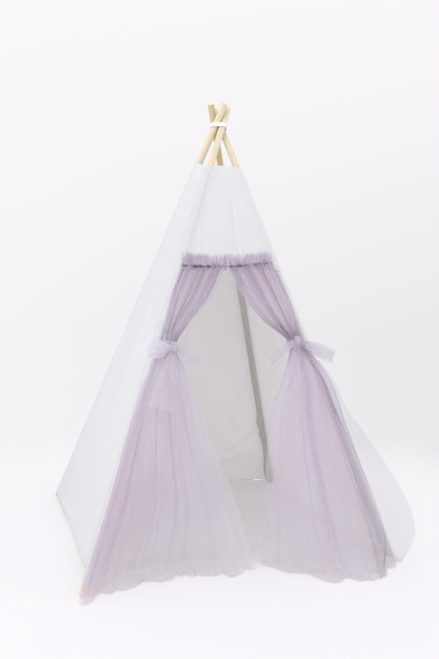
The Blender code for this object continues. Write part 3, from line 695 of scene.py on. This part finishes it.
def section_reach(corner, height, radius, normal):
    """Where a slanting pole's level section reaches furthest along a level direction."""
    radial, tangent = level_axes(corner)
    long_half = radius / POLE_LINES[corner][2]
    along, across = normal @ radial, normal @ tangent
    reach = np.hypot(long_half * along, radius * across)
    offset = np.multiply.outer(long_half**2 * along / reach, radial)
    return on_pole(corner, height) + offset + np.multiply.outer(radius**2 * across / reach, tangent)


def tangent_line(first, second, height):
    """Level lines that touch both sleeves from outside, with their outward normals."""
    start, end = on_pole(first, height), on_pole(second, height)
    outward = face_normal(first, second)
    for _ in range(4):
        along = end - start
        normal = np.stack((-along[..., 1], along[..., 0], np.zeros_like(along[..., 0])), axis=-1)
        normal /= np.linalg.norm(normal, axis=-1)[..., None]
        normal *= np.sign(normal @ outward)[..., None]
        start = section_reach(first, height, SLEEVE_RADIUS, normal)
        end = section_reach(second, height, SLEEVE_RADIUS, normal)
    return start, end, normal


def side_hem(u):
    return SIDE_HEM_REAR + (SIDE_HEM_FRONT - SIDE_HEM_REAR) * u**1.6


def right_hem(u):
    return RIGHT_HEM + 0.001 * sin(pi * u) ** 2


def rear_hem(u):
    """Level, but for a small lift near the right corner."""
    return REAR_HEM + REAR_HEM_RISE * bump(u, 0.945, 0.020)


def front_hem(u):
    return np.full_like(u, FRONT_HEM)


def side_relief(u, v):
    """Slack canvas: deepest low down, with pulls that run up towards the lashing."""
    hold = sin(pi * u) ** 2
    slack = 0.010 * hold * (1 - 0.8 * v)
    pulls = 0.0022 * sin(tau * (3.2 * u + 0.15 * sin(4 * v))) * hold * (1 - 0.5 * v)
    low = 0.0035 * soft_noise(u * 2.3 + v * 0.7, 3) * hold * (1 - v) ** 2
    return slack + pulls + low


# Each crease runs from one x and z to another, and has a half width and a depth.
REAR_CREASES = (
    (0.262, 0.180, 0.400, 0.292, 0.0099, 0.0135),
    (0.190, 0.118, 0.440, 0.182, 0.0108, 0.0108),
    (0.300, 0.282, 0.256, 0.334, 0.0090, 0.0108),
    (0.256, 0.334, 0.268, 0.400, 0.0090, 0.0108),
    (0.240, 0.530, 0.290, 0.430, 0.0108, 0.0099),
    (0.290, 0.531, 0.336, 0.674, 0.0090, 0.0090),
    (0.305, 0.240, 0.420, 0.360, 0.0126, 0.0090),
    (-0.300, 0.160, -0.420, 0.300, 0.0144, 0.0090),
    (-0.180, 0.240, -0.330, 0.420, 0.0144, 0.0072),
)
FRONT_CREASES = (
    (-0.172, 1.000, -0.122, 1.260, 0.007, 0.0060),
    (-0.150, 1.000, -0.100, 1.310, 0.009, 0.0085),
    (-0.122, 1.000, -0.084, 1.360, 0.008, 0.0070),
    (0.030, 1.000, 0.018, 1.260, 0.010, 0.0080),
    (0.058, 1.000, 0.036, 1.340, 0.009, 0.0075),
    (0.135, 1.000, 0.100, 1.200, 0.010, 0.0050),
)


def creases(x, z, lines):
    """How far creases draw the canvas in."""
    total = 0.0
    for x0, z0, x1, z1, width, depth in lines:
        run_x, run_z = x1 - x0, z1 - z0
        along = clip(((x - x0) * run_x + (z - z0) * run_z) / (run_x**2 + run_z**2), 0, 1)
        away = (x - x0 - along * run_x) ** 2 + (z - z0 - along * run_z) ** 2
        fade = 0.35 + 0.65 * sin(pi * along) ** 0.5
        total = total + depth * np.exp(-away / width**2) * fade
    return total


def on_face(u, v, low, top):
    """Where a point of the front or back face is: off the middle, and its height."""
    z = low + (top - low) * v
    return (u - 0.5) * BASE_WIDTH * (1 - z / CROSSING[2]), z


def rear_relief(u, v):
    """The back wall: slanting creases low down, and a foot that spreads where it meets the floor."""
    x, z = on_face(u, v, REAR_HEM, CANVAS_TOPS["rear_left"])
    flare = REAR_FLARE * (1 - smooth_step(z, 0.0, 0.16)) * sin(pi * u) ** 0.3
    return side_relief(u, v) * smooth_step(z, 0.0, 0.25) + creases(x, z, REAR_CREASES) - flare


def front_relief(u, v):
    """Soft upright folds of the piece over the doorway."""
    x, z = on_face(u, v, FRONT_HEM, CANVAS_TOPS["front_left"])
    hold = sin(pi * clip(u, 0, 1)) ** 0.8
    return hold * (0.0015 + creases(x, z, FRONT_CREASES))


# Each face's two poles, a half's flat width and length, the joint it folds with, its hem and its
# relief.
PANELS = {
    "left_panel": ("rear_left", "front_left", (0.49, 1.45), "front_fold_left", side_hem, side_relief),
    "right_panel": ("rear_right", "front_right", (0.49, 1.45), "front_fold", right_hem, side_relief),
    "rear_panel": ("rear_left", "rear_right", (0.54, 1.45), "side_fold", rear_hem, rear_relief),
    "front_panel": ("front_left", "front_right", (0.21, 0.44), "side_fold", front_hem, front_relief),
}
# For each face that isn't plain: its rows of points, how far each half passes the middle, and how
# dark its hem line is drawn, partly stitching and partly painted contact shadow.
PANEL_DETAILS = {"rear_panel": (120, 0.0, 0.6), "front_panel": (60, 0.018, 0.3)}
PLAIN_PANEL = (120, 0.0, 0.3)


def fold_to_pole(piece, corner, towards):
    """A soft piece rides one pole."""
    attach(piece, corner + "_frame")
    line = POLE_LINES[corner]
    across = towards - FEET[corner]
    across = unit(across - line * (across @ line))
    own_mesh(piece)


def make_panel(name, first, second, flat, joint, low_edge, relief):
    """A canvas face in two halves, one to each pole, that meet or lap at its middle."""
    rows, lap, hem_shadow_line = PANEL_DETAILS.get(name, PLAIN_PANEL)
    canvas = canvas_finish(name, hem_shadow_line=hem_shadow_line)
    middle = (FEET[first] + FEET[second]) / 2
    halves = ((first, "a", 0, 0.5 + lap, 0.0), (second, "b", 0.5 - lap, 1, LAP_DEPTH if lap else 0.0))
    for corner, half, start_u, end_u, under in halves:
        u, v = meshgrid(linspace(start_u, end_u, 65), linspace(0, 1, rows + 1))
        low = low_edge(u)
        top = CANVAS_TOPS[first] + (CANVAS_TOPS[second] - CANVAS_TOPS[first]) * u
        start, end, normal = tangent_line(first, second, low + (top - low) * v)
        lift = CANVAS_LIFT - under - relief(u, v)
        points = start + (end - start) * u[..., None] + normal * lift[..., None]
        piece = make_cloth(f"{name}_{half}", points, flat, canvas)
        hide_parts(name)
        poles = [first + "_pole", second + "_pole"]
        round(cloth_area(points), 4)
        fold_to_pole(piece, corner, middle)


# Swellings on the inner side of the rear sleeves: height, reach, and how far they stand out.
SLEEVE_SLACK = ((0.32, 0.032, 0.011), (0.25, 0.020, 0.008), (0.06, 0.060, 0.014))
# The sleeves carry painted light and shade: the rear sleeves and the front-left one are drawn darker
# than the panels' canvas as painted shade, and the front-right one lighter as painted light.
REAR_SLEEVE_CANVAS_PAINTED_SHADE = canvas_finish(
    "rear_sleeve_canvas", colour(229, 228, 231), colour(222, 221, 224), 0.12, sleeve=True
)
SLEEVE_CANVAS_LIT_AND_SHADED = {"rear_left": REAR_SLEEVE_CANVAS_PAINTED_SHADE, "rear_right": REAR_SLEEVE_CANVAS_PAINTED_SHADE}
for corner, light, shade, see_through in (
    ("front_left", (233, 233, 237), (227, 226, 231), 0.14),
    ("front_right", (248, 248, 252), (242, 242, 247), 0.24),
):
    name = corner + "_sleeve_canvas"
    SLEEVE_CANVAS_LIT_AND_SHADED[corner] = canvas_finish(name, colour(*light), colour(*shade), see_through)


def make_sleeve(corner):
    """The canvas tube round a pole, a little slack, with an open end above the foot."""
    bottom, top = SLEEVE_BOTTOMS[corner], CANVAS_TOPS[corner]
    heights, angles = linspace(bottom, top, 160), linspace(0, tau, 25)
    height, angle = meshgrid(heights, angles, indexing="ij")
    slant = POLE_LINES[corner][2]
    radial, tangent = level_axes(corner)
    facing_in = cos(angle - pi)
    inward = 0.5 - 0.5 * facing_in
    ripple = 0.0003 * sin(9 * angle + 14 * height) * sin(23 * height + 2) ** 2
    snug = 0.0010 * (1 - smooth_step(inward, 0.30, 0.55))
    seam = 0.0017 * smooth_step(inward, 0.62, 0.84)
    radius = SLEEVE_RADIUS - 0.0006 - snug + seam + ripple * (1 - inward)
    if corner.startswith("rear"):
        for place, reach, swell in SLEEVE_SLACK:
            radius = radius + swell * bump(height, place, reach) * smooth_step(facing_in, 0.0, 0.8)
    points = on_pole(corner, height) + (radius / slant * cos(angle))[..., None] * radial
    points = points + (radius * sin(angle))[..., None] * tangent
    flat = (SLEEVE_CLOTH, round((top - bottom) / slant, 3))
    piece = make_cloth(corner + "_sleeve_cloth", points, flat, SLEEVE_CANVAS_LIT_AND_SHADED[corner])
    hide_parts(corner + "_sleeve")
    corner + "_pole"
    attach(piece, corner + "_frame")


# ---- Lashing
CORD_RADIUS = 0.0030
CORD_TURNS = 3
CORD_PITCH = 0.0055
STEPS_PER_TURN = 48
LASHING_DROP = 0.011
LAY_LENGTH = 0.016
ROPE_STEP = 0.0012
KNOT_BEHIND = 0.009
KNOT_SCALE = (0.0026, 0.0030, 0.0026)


def bundle_point(angle, height, standoff):
    """A point of the line drawn tight round the four poles at one height."""
    normal = np.array((cos(angle), sin(angle), 0))
    reaches = [section_reach(corner, height, POLE_RADIUS, normal) for corner in FEET]
    return max(reaches, key=lambda point: point @ normal) + normal * standoff


def rope_parts(route, radius):
    """Three strands laid round each other along a line."""
    line = resample(route, ROPE_STEP)
    strand = (radius * 0.76, 8, tau / LAY_LENGTH, radius * 0.24)
    return [tube_parts(sweep(line, *strand, tau * i / 3)) for i in range(3)]


def make_lashing():
    """Turns round the crossing that start and end in a knot behind it, with two short ends."""
    steps = CORD_TURNS * STEPS_PER_TURN
    middle = CROSSING[2] - LASHING_DROP
    turns = [
        bundle_point(
            pi / 2 + tau * step / STEPS_PER_TURN,
            middle + CORD_TURNS * CORD_PITCH * (step / steps - 0.5),
            CORD_RADIUS * 1.12,
        )
        for step in range(2, steps - 1)
    ]
    rear = max(point[1] for point in turns)
    centre = np.array((TENT_AXIS[0], rear + KNOT_BEHIND, CROSSING[2]))
    start, end = centre - (0, 0.003, 0.003), centre + (0, -0.003, 0.003)
    parts = rope_parts(np.array([start, *turns, end]), CORD_RADIUS)
    t = linspace(0, tau, 60)
    knot = np.stack((sin(t) + 2 * sin(2 * t), -0.9 * sin(3 * t), cos(t) - 2 * cos(2 * t)), axis=1)
    parts += rope_parts(centre + knot * KNOT_SCALE, CORD_RADIUS * 0.9)
    share = linspace(0, 1, 12)[:, None]
    for side in (-1, 1):
        swing = np.array((side * 0.003, 0.002, 0)) * sin(pi * share)
        fall = np.array((side * 0.014, 0.006, -0.045)) * share + swing
        parts += rope_parts(centre + (side * 0.004, 0.001, -0.004) + fall, CORD_RADIUS * 0.95)
    cotton = cord_finish("lashing_cotton", colour(255, 254, 252), colour(246, 244, 241))
    piece = make_mesh("lashing_rope", *join_parts(parts), cotton)
    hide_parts("lashing_cord")
    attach(piece, "rear_right_frame")


# ---- Tulle
HEADER_SAG = 0.014
HEADER_SLOPE = 0.120
CORD_SAG = 0.009
CORD_SLOPES = {-1: 0.0, 1: 0.020}
HEADER_FORWARD = SLEEVE_RADIUS + 0.0096
# How far out each half of the heading starts and ends, where each tie is out from the middle and
# up, and how far it stands forward.
HEADER_SPANS = {-1: (0.0205, 0.200), 1: (-0.0350, 0.160)}
TIE_PLACES = {-1: (0.2595, 0.702), 1: (0.228, 0.722)}
TIE_STANDOFFS = {-1: 0.0391, 1: 0.0146}
TIE_REACH = 0.045
GATHER_REACH = 0.055
FLOOR_REST = 0.030
FLOOR_LIFT = 0.0030
OPEN_FOLD = 0.011
NARROW_FOLD = 0.0036
FOLD_LIFT = 0.007
TIE_BULGE = 0.013
CURTAIN_ROWS = 141
STEPS_PER_GATHER = 20
CURTAIN_DROP = 1.04
VEIL_DROP = 0.72
# Each row: a height, how far out the outer and the inner edge are there, and how far forward the
# cloth is at its outer edge, in its middle and at its inner edge.
LEFT_ROWS = (
    (CORD_HEIGHT - 0.003, 0.199, 0.031, 0.0245, 0.0245, 0.0245),
    (0.880, 0.245, 0.100, 0.032, 0.036, 0.032),
    (0.790, 0.262, 0.182, 0.036, 0.042, 0.038),
    (0.702, 0.277, 0.234, 0.0391, 0.0391, 0.0391),
    (0.600, 0.336, 0.212, 0.038, 0.052, 0.042),
    (0.430, 0.396, 0.176, 0.036, 0.054, 0.032),
    (0.230, 0.458, 0.096, 0.036, 0.040, 0.018),
    (0.060, 0.520, 0.042, 0.040, -0.050, 0.000),
    (0.000, 0.538, 0.028, 0.042, -0.085, -0.012),
)
RIGHT_ROWS = (
    (CORD_HEIGHT - 0.003, 0.160, -0.025, 0.0245, 0.0245, 0.0245),
    (0.880, 0.207, 0.029, 0.032, 0.036, 0.032),
    (0.790, 0.233, 0.104, 0.034, 0.038, 0.034),
    (0.722, 0.257, 0.200, 0.0146, 0.0146, 0.0146),
    (0.600, 0.336, 0.175, 0.038, 0.058, 0.043),
    (0.430, 0.388, 0.122, 0.036, 0.080, 0.041),
    (0.230, 0.449, 0.098, 0.036, 0.097, 0.020),
    (0.060, 0.502, 0.094, 0.036, 0.108, -0.034),
    (0.000, 0.516, 0.094, 0.034, 0.112, -0.050),
)
VEIL_ROWS = (
    (0.660, 0.300, 0.262, 0.040, 0.046, 0.046),
    (0.590, 0.352, 0.288, 0.050, 0.060, 0.066),
    (0.500, 0.384, 0.300, 0.057, 0.075, 0.087),
    (0.400, 0.450, 0.320, 0.064, 0.090, 0.106),
    (0.210, 0.576, 0.350, 0.054, 0.090, 0.124),
    (0.105, 0.606, 0.362, 0.051, 0.091, 0.131),
    (0.040, 0.584, 0.368, 0.048, 0.091, 0.134),
    (0.000, 0.530, 0.372, 0.044, 0.090, 0.136),
)


def header_rise(out, side, sag=HEADER_SAG):
    """How far the heading runs above its own level: it sags, and climbs towards the right."""
    return HEADER_SLOPE * side * out - sag * (1 - (out / HALF_DOORWAY) ** 2)


def cord_rise(out, side):
    """The cord climbs towards the right a little more than the frill's top does."""
    return header_rise(out, side, CORD_SAG) + CORD_SLOPES[side] * out


def long_folds(u, z, span, rng, count, top):
    """Folds of the loose cloth: each laps over itself along a line that wanders down."""
    lap, lift = 0.0, 0.0
    for index in range(count):
        place = (index + 0.5 + rng.uniform(-0.32, 0.32)) / count
        drift = rng.uniform(-0.05, 0.05)
        width = rng.uniform(0.010, 0.024) / span * clip(1 - 0.35 * z / top, 0.5, 1)
        ends = rng.uniform(-0.25, 0.30)
        strength = rng.uniform(0.7, 1.5) * smooth_step(z / top, ends - 0.25, ends + 0.15)
        s = (u - place - drift * (1 - z / top)) / width
        bell = np.exp(-(s**2))
        lap = lap - strength * 1.5 * width * s * bell
        lift = lift + rng.choice((-1, 1)) * strength * FOLD_LIFT * bell
    return lap, lift


def curtain_points(rows, side, seed, wide, fine, shift, spread, tied):
    """Tulle from the heading through the tie to the floor: fine narrow gathers above and at the
    tie, opening into a few wide uneven folds below. wide and fine are how many there are, shift is
    how far the layer stands forward, and spread how far its inner edge reaches past the rows'."""
    u = linspace(0, 1, fine * STEPS_PER_GATHER + 1)[None, :]
    top = rows[0][0]
    tie = TIE_PLACES[side][1] if tied else top
    height = top * (1 - linspace(0, 1, CURTAIN_ROWS))
    outer, inner, front_out, front_mid, front_in = (part[:, None] for part in read_rows(rows, height).T)
    z = height[:, None]
    inner = inner - spread * smooth_step(top * 0.70 - z, 0.0, 0.22)
    span = outer - inner
    at_tie = tied * bump(z, tie, TIE_REACH)
    gathered = tied * bump(z, tie, GATHER_REACH)
    if tied:
        up_to_cord = ((z - tie) / (top - tie)) ** 2
        gathered = np.where(z > tie, 0.50 + 0.50 * np.maximum(gathered, up_to_cord), gathered)
    below = clip((tie - z) / tie, 0, 1)
    wander = 0.34 * soft_noise(u * 1.7 + 0.10 * z, seed) + 0.10 * soft_noise(u * 4.3, seed + 1)
    broad = tau * (wide * (u + 0.30 * wander))
    narrow = tau * (fine * u + 1.1 * soft_noise(u * 3.1 + 0.2 * z, seed + 2))
    uneven = clip(1 + 0.9 * soft_noise(u * 3.7, seed + 3), 0.35, 1.7)
    envelope = np.sqrt(clip(1 - (2 * u - 1) ** 2, 0, 1))
    lap, lift = long_folds(u, z, span, np.random.default_rng(seed + 7), wide + 3, tie)
    open_depth = (0.003 + OPEN_FOLD * below**0.7) * uneven * (1 - at_tie) * (0.35 + 0.65 * envelope)
    narrow_depth = NARROW_FOLD * gathered * (0.5 + 0.5 * uneven) * (1 - 0.3 * at_tie)
    belly = front_mid - (front_out + front_in) / 2
    forward = front_out + (front_in - front_out) * u + 4 * u * (1 - u) * belly
    forward = forward + shift * (1 - at_tie) + open_depth * cos(broad) + narrow_depth * cos(narrow)
    edge = inside_edges(u, 0.05)
    forward = forward + TIE_BULGE * at_tie * envelope * np.sign(shift) + lift * edge * (1 - at_tie)
    crowding = 0.26 / fine * gathered * sin(2 * narrow) + (1 - gathered) * lap
    out = outer - span * u + edge * span * crowding
    hang = clip(z - tie, 0, None) / (top - tie + 0.001)
    return front_point(out, z + hang * cord_rise(out, side), forward, side), u, z


def lay_on_floor(points, u, z, reach, seed):
    """The last of the cloth rests on the floor: it runs forward by its reach and ripples there."""
    near = smooth_step(FLOOR_REST - z, 0, FLOOR_REST)
    ripple = 0.5 + 0.5 * soft_noise(u * 7.0 + 0.3 * near, seed)
    points[..., 1] -= near**1.5 * reach(u) * (0.6 + 0.8 * ripple)
    points[..., 2] = np.maximum(points[..., 2], 0.0) + FLOOR_LIFT + 0.005 * ripple * near
    return points


def left_reach(u):
    return 0.008 + 0.060 * sin(pi * u) + 0.018 * bump(u, 0.05, 0.06) + 0.045 * bump(u, 0.90, 0.05)


def right_reach(u):
    return 0.012 + 0.014 * bump(u, 0.55, 0.2)


def lining_reach(u):
    return 0.008 + 0.030 * sin(pi * u)


def veil_reach(u):
    return np.full_like(u, 0.008)


def fold_front(piece, side):
    fold_to_pole(piece, "front_" + SIDES[side], FRONT_MIDDLE)


def add_tulle(name, node, side, points, length, finish, wrap=False):
    """A tulle piece on its front pole; its flat width is what its real area makes of its length."""
    width = round(cloth_area(points) / length, 3)
    piece = make_cloth(name, points, (width, length), finish, wrap)
    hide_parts(node)
    fold_front(piece, side)


def make_curtain(
    name, node, side, rows, finish, seed, wide, fine, reach, length, shift, spread=0.0, tied=True
):
    """One layer of a curtain, down to where it lies on the floor."""
    points, u, z = curtain_points(rows, side, seed, wide, fine, shift, spread, tied)
    points = lay_on_floor(points, u, z, reach, seed + 9)
    add_tulle(name, node, side, points, length, finish)


def make_header(side, seed, finish):
    """The gathered heading: folded over the elastic, with a soft puffed frill standing above it."""
    u = linspace(0, 1, 521)[None, :]
    v = linspace(-1, 1, 41)[:, None]
    inner, outer = HEADER_SPANS[side]
    out = inner + (outer - inner) * u
    drop = np.abs(v)
    height = HEADER_TOP - (HEADER_TOP - HEADER_BOTTOM) * drop
    near_cord = bump(height, CORD_HEIGHT, 0.0085)
    top = smooth_step(1 - drop, 0.05, 0.6)
    lean = 0.8 * sin(tau * 4 * u + seed) * top
    phase = tau * (9 * u + 1.3 * soft_noise(u * 2.6, seed)) + lean
    small = tau * (31 * u + 2.0 * soft_noise(u * 5.0, seed + 1))
    loose = 1 - 0.80 * near_cord
    puff = 0.5 + 0.5 * cos(phase)
    wave = loose * (0.0072 * puff - 0.0036 + 0.0006 * cos(small + 1.5 * v))
    leaf = 0.0026 + 0.0020 * near_cord + 0.0035 * puff * top
    forward = HEADER_FORWARD + wave + leaf * np.sign(v) * np.minimum(1, drop * 5) ** 0.6
    lateral = loose * 0.0036 * sin(phase) + (0.0002 + 0.0018 * near_cord) * sin(small)
    edge = inside_edges(u, 0.03)
    frill = (0.0040 * soft_noise(u * 7.0, seed + 4) + 0.0050 * (puff - 0.5)) * top
    near_top = (height - HEADER_BOTTOM) / (HEADER_TOP - HEADER_BOTTOM)
    rise = header_rise(out, side) * near_top + cord_rise(out, side) * (1 - near_top)
    level = height + rise + frill - 0.004 * (1 - edge) * top
    points = front_point(out + lateral * edge, level, forward, side)
    name, node = SIDES[side] + "_header_frill", SIDES[side] + "_curtain_header"
    add_tulle(name, node, side, points, HEADER_LENGTH, finish)


def make_elastic():
    """The covered elastic inside the heading, in two halves that meet at the middle."""
    elastic = cord_finish("elastic_cover", colour(205, 195, 212), colour(190, 178, 198))
    for name, side in (("curtain_elastic", -1), ("curtain_elastic_right", 1)):
        inner, outer = HEADER_SPANS[side]
        out = linspace(inner - 0.0015, outer, 90)
        height = CORD_HEIGHT + cord_rise(out, side) * 0.8 + header_rise(out, side) * 0.2
        route = front_point(out, height, np.full_like(out, HEADER_FORWARD), side)
        radius = 0.0019 + 0.00015 * sin(np.arange(len(out)) * 1.9)
        piece = make_mesh(name, *tube_parts(sweep(route, radius, 10)), elastic)
        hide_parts("curtain_drawcord")
        fold_front(piece, side)


# ---- Ties and bows
SASH_LENGTH = 0.034
BAND_HEIGHT = 0.030
BAND_HALF_WIDTH = 0.0300
BAND_HALF_DEPTH = 0.0250
LOOP_START = 0.011
LOOP_WIDEST = 0.62
TAIL_START = 0.010
RIBBON_PINCH = 0.006
KNOT_SIZE = np.array((0.0175, 0.0175, 0.0085))
# How far out and up each knot sits from the solids' one.
KNOT_SHIFTS = {-1: (-0.020, -0.016), 1: (-0.009, 0.000)}
# Each loop: its heading and roll in degrees, length, width, droop, lean, how far it opens, how
# blunt its end is, a seed, and its tulle.
LOOPS = (
    (-1, "loop_outer", -6, 36, 0.090, 0.062, 0.006, 0.006, 0.017, 2.2, 11, "bow_loop"),
    (-1, "loop_upper", 58, 10, 0.092, 0.034, 0.000, 0.014, 0.008, 1.0, 12, "wisp"),
    (1, "loop_outer", -22, 8, 0.148, 0.046, 0.004, 0.008, 0.007, 0.2, 13, "bow"),
    (1, "loop_lower", -40, 0, 0.120, 0.044, 0.000, 0.006, 0.010, 1.0, 14, "wisp"),
)
# Each tail: its heading in degrees, length, width, droop, lean, how slanted its end is, how deep
# its pleats are, a seed, and its tulle.
TAILS = (
    (-1, "tail_side", 220, 0.098, 0.035, 0.003, 0.012, 0.014, 0.002, 21, "bow_end"),
    (-1, "tail_hanging", 285, 0.214, 0.084, 0.000, 0.022, -0.006, 0.008, 22, "bow"),
    (1, "tail_side", 210, 0.143, 0.042, 0.004, 0.012, 0.014, 0.002, 23, "bow_end"),
    (1, "tail_hanging", 252, 0.196, 0.070, 0.000, 0.036, 0.040, 0.008, 24, "bow"),
)


def make_band(side, finish):
    """The sash round the gathered curtain, pulled into narrow ribs."""
    angle, v = meshgrid(linspace(0, tau, 96, endpoint=False), linspace(0, 1, 25))
    middle, tie = TIE_PLACES[side]
    ribs = 0.0010 * sin(tau * (4.5 * v + 0.35 * sin(2 * angle)))
    relief = ribs - 0.0014 * cos(tau * v)
    out = middle + (BAND_HALF_WIDTH + relief) * cos(angle) * 0.98
    forward = TIE_STANDOFFS[side] + (BAND_HALF_DEPTH + relief) * sin(angle)
    height = tie + (v - 0.5) * BAND_HEIGHT + 0.002 * sin(3 * angle + 4 * v)
    points = front_point(out, height, forward, side)
    name, node, rests_on = (SIDES[side] + end for end in ("_sash", "_tie_band", "_tulle_front"))
    add_tulle(name, node, side, points, SASH_LENGTH, finish, wrap=True)


def by_knot(side, axes, steps, fall=0.0):
    """Points at steps along three axes from the middle of a knot, and lower by how far they fall."""
    low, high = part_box(SIDES[side] + "_bow_knot")
    aside, down = KNOT_SHIFTS[side]
    centre = (np.array(low) + np.array(high)) / 2 + np.array((side * aside, 0, down))
    return centre + np.stack(steps, axis=-1) @ np.array(axes) - np.multiply.outer(fall, UP)


def make_knot(side, finish):
    """The crossing of the bow: tulle wound over itself in small folds."""
    polars, turns = linspace(0.02, pi - 0.02, 33), linspace(0, tau, 72, endpoint=False)
    polar, around = meshgrid(polars, turns, indexing="ij")
    folds = 0.10 * sin(8 * around + 2.2 * polar) + 0.05 * sin(15 * around - 4 * polar)
    reach = sin(polar) * (1 + folds * sin(polar))
    waist = 0.80 + 0.20 * cos(2 * polar)
    aside, up, forward = KNOT_SIZE
    steps = (reach * cos(around) * aside * waist, cos(polar) * up, reach * sin(around) * forward)
    points = by_knot(side, ((side, 0, 0), FACE_UP, FORWARD), steps)
    uv = flat_places(len(polars), len(turns), (0.09, 0.05))
    piece = make_mesh(SIDES[side] + "_knot", *tube_parts(points), finish, uv)
    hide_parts(SIDES[side] + "_bow_knot")
    fold_front(piece, side)


def ribbon_axes(side, heading, roll):
    """Along the ribbon, across it, and off its face; roll turns it about its own length."""
    angle, turn = radians(heading), radians(roll)
    sideways = np.array((side, 0, 0))
    ahead = sideways * cos(angle) + FACE_UP * sin(angle)
    across = FACE_UP * cos(angle) - sideways * sin(angle)
    rolled = across * cos(turn) + FORWARD * sin(turn)
    return ahead, rolled, FORWARD * cos(turn) - across * sin(turn)


def add_ribbon(side, name, heading, roll, steps, fall, length, finish):
    """A loop or a tail, placed by the knot of its bow."""
    points = by_knot(side, ribbon_axes(side, heading, roll), steps, fall)
    node, knot = f"{SIDES[side]}_bow_{name}", SIDES[side] + "_knot"
    add_tulle(f"{SIDES[side]}_{name}", node, side, points, length, finish)


def make_loop(side, name, heading, roll, length, width, droop, lean, bulge, blunt, seed, finish):
    """A loop of the bow: out from the knot, round, and back behind itself."""
    u, v = meshgrid(linspace(0, 1, 97), linspace(0, 1, 33), indexing="ij")
    swell = clip(sin(pi * u), 0, 1)
    out = LOOP_START + (length - LOOP_START) * swell**0.85
    past_widest = (swell - LOOP_WIDEST) / LOOP_WIDEST
    narrowing = np.abs(past_widest) ** 2.2 * np.where(past_widest > 0, blunt, 1)
    half = RIBBON_PINCH + (width / 2 - RIBBON_PINCH) * (1 - narrowing)
    opening = 0.002 + bulge * swell**0.5 * np.abs(cos(pi * u)) ** 0.55
    leaf = np.tanh((0.5 - u) * 14)
    pleats = 0.0024 * (1 - 0.7 * swell) * cos(tau * (3.2 * v + 0.3 * soft_noise(u * 1.5, seed)))
    rise = leaf * opening + pleats + 0.0022 * swell * sin(tau * 1.4 * v + seed)
    across = half * (2 * v - 1) + 0.10 * width * leaf * swell
    steps = (out, across, rise + lean * out / length)
    fall = droop * (out / length) ** 2
    add_ribbon(side, name, heading, roll, steps, fall, 2 * length, finish)


def make_tail(side, name, heading, length, width, droop, lean, slant, depth, seed, finish):
    """A free end of the bow, opening out from the knot in soft pleats."""
    u, v = meshgrid(linspace(0, 1, 73), linspace(0, 1, 41), indexing="ij")
    half = RIBBON_PINCH + (width / 2 - RIBBON_PINCH) * u**0.6
    wave = 0.5 - 0.5 * cos(tau * (2 * v + 0.18 * soft_noise(u * 2, seed)))
    pleat = depth * np.minimum(1, 3 * u) * wave
    gathers = 0.0012 * np.exp(-3 * u) * cos(tau * 6 * v) + 0.0004 * sin(tau * (4 * v + u)) * u
    ragged = slant * (v - 0.5) + 0.004 * soft_noise(v * 3, seed + 1)
    along = TAIL_START + (length - TAIL_START) * u + ragged * u**3
    steps = (along, half * (2 * v - 1), pleat + gathers + lean * u)
    add_ribbon(side, name, heading, 0, steps, droop * u**2, length, finish)


# ---- Everything together
make_camera()
make_world()
make_lamps()
make_floor()

for corner in FEET:
    pole = frame["nodes"][corner + "_pole"]
    pole.data.materials.clear()
    pole.data.materials.append(wood_finish(corner))
for corner in FEET:
    make_sleeve(corner)
for name, panel in PANELS.items():
    make_panel(name, *panel)
make_lashing()

# Each tulle: its tint, its deeper tint, how dense it is, how streaky, how warm, and where its
# pleats end.
HEADER_TULLE = tulle_finish("header", colour(240, 233, 244), TULLE_DEEP, 0.36, warmth=0.4, header=True)
TULLES = {
    name: tulle_finish(name, colour(*tint), colour(*deep), *rest)
    for name, tint, deep, *rest in (
        ("sash", (232, 225, 238), (204, 188, 210), 0.70, 0.10, 0.3),
        ("bow_knot", (234, 228, 239), (204, 188, 210), 0.42, 0.08, 0.2),
        ("bow_loop", (242, 239, 247), (224, 218, 232), 0.40, 0.06, 0.1, 0.05),
        ("bow_end", (222, 214, 227), (206, 195, 212), 0.62, 0.04, 0.4, 0.02),
        ("bow", (225, 218, 229), (206, 198, 216), 0.36, 0.06, 0.2, 0.05),
        ("wisp", (225, 220, 232), (230, 220, 234), 0.06, 0.02, 0.0, 0.0),
        # The overlay's tulle is drawn far darker than the other tulle: painted shade on the sheer
        # layer.
        ("veil", (150, 146, 160), (132, 128, 142), 0.10, 0.02, 0.0, 0.0),
    )
}
make_elastic()
# Each side's rows, reach on the floor, seed, warmth and shares; then each layer's seed, how many
# wide folds and narrow gathers it has, its reach and drop, and its shift and spread.
for side, rows, reach, seed, warmth, shares in (
    (-1, LEFT_ROWS, left_reach, 31, 0.4, (1.06, 1.0, 0.80)),
    (1, RIGHT_ROWS, right_reach, 57, 0.7, (1.32, -0.9, 0.25)),
):
    tulle = tulle_finish(SIDES[side], TULLE_TINT, TULLE_DEEP, 0.265, 0.05, warmth, 0.33, curtain=shares)
    for layer, *folds in (
        ("front", seed, 4, 24, reach, CURTAIN_DROP, 0.002),
        ("back", seed + 5, 3, 21, lining_reach, CURTAIN_DROP, -0.004, 0.042),
    ):
        name, node = f"{SIDES[side]}_tulle_{layer}", SIDES[side] + "_curtain"
        make_curtain(name, node, side, rows, tulle, *folds)
    make_header(side, seed + 11, HEADER_TULLE)
    make_band(side, TULLES["sash"])
    make_knot(side, TULLES["bow_knot"])
veil = ("right_veil", "right_curtain_overlay", 1, VEIL_ROWS, TULLES["veil"])
make_curtain(*veil, 91, 1, 8, veil_reach, VEIL_DROP, 0.001, tied=False)
for *loop, tulle in LOOPS:
    make_loop(*loop, TULLES[tulle])
for *tail, tulle in TAILS:
    make_tail(*tail, TULLES[tulle])

bpy.context.scene.view_settings.view_transform = "Standard"
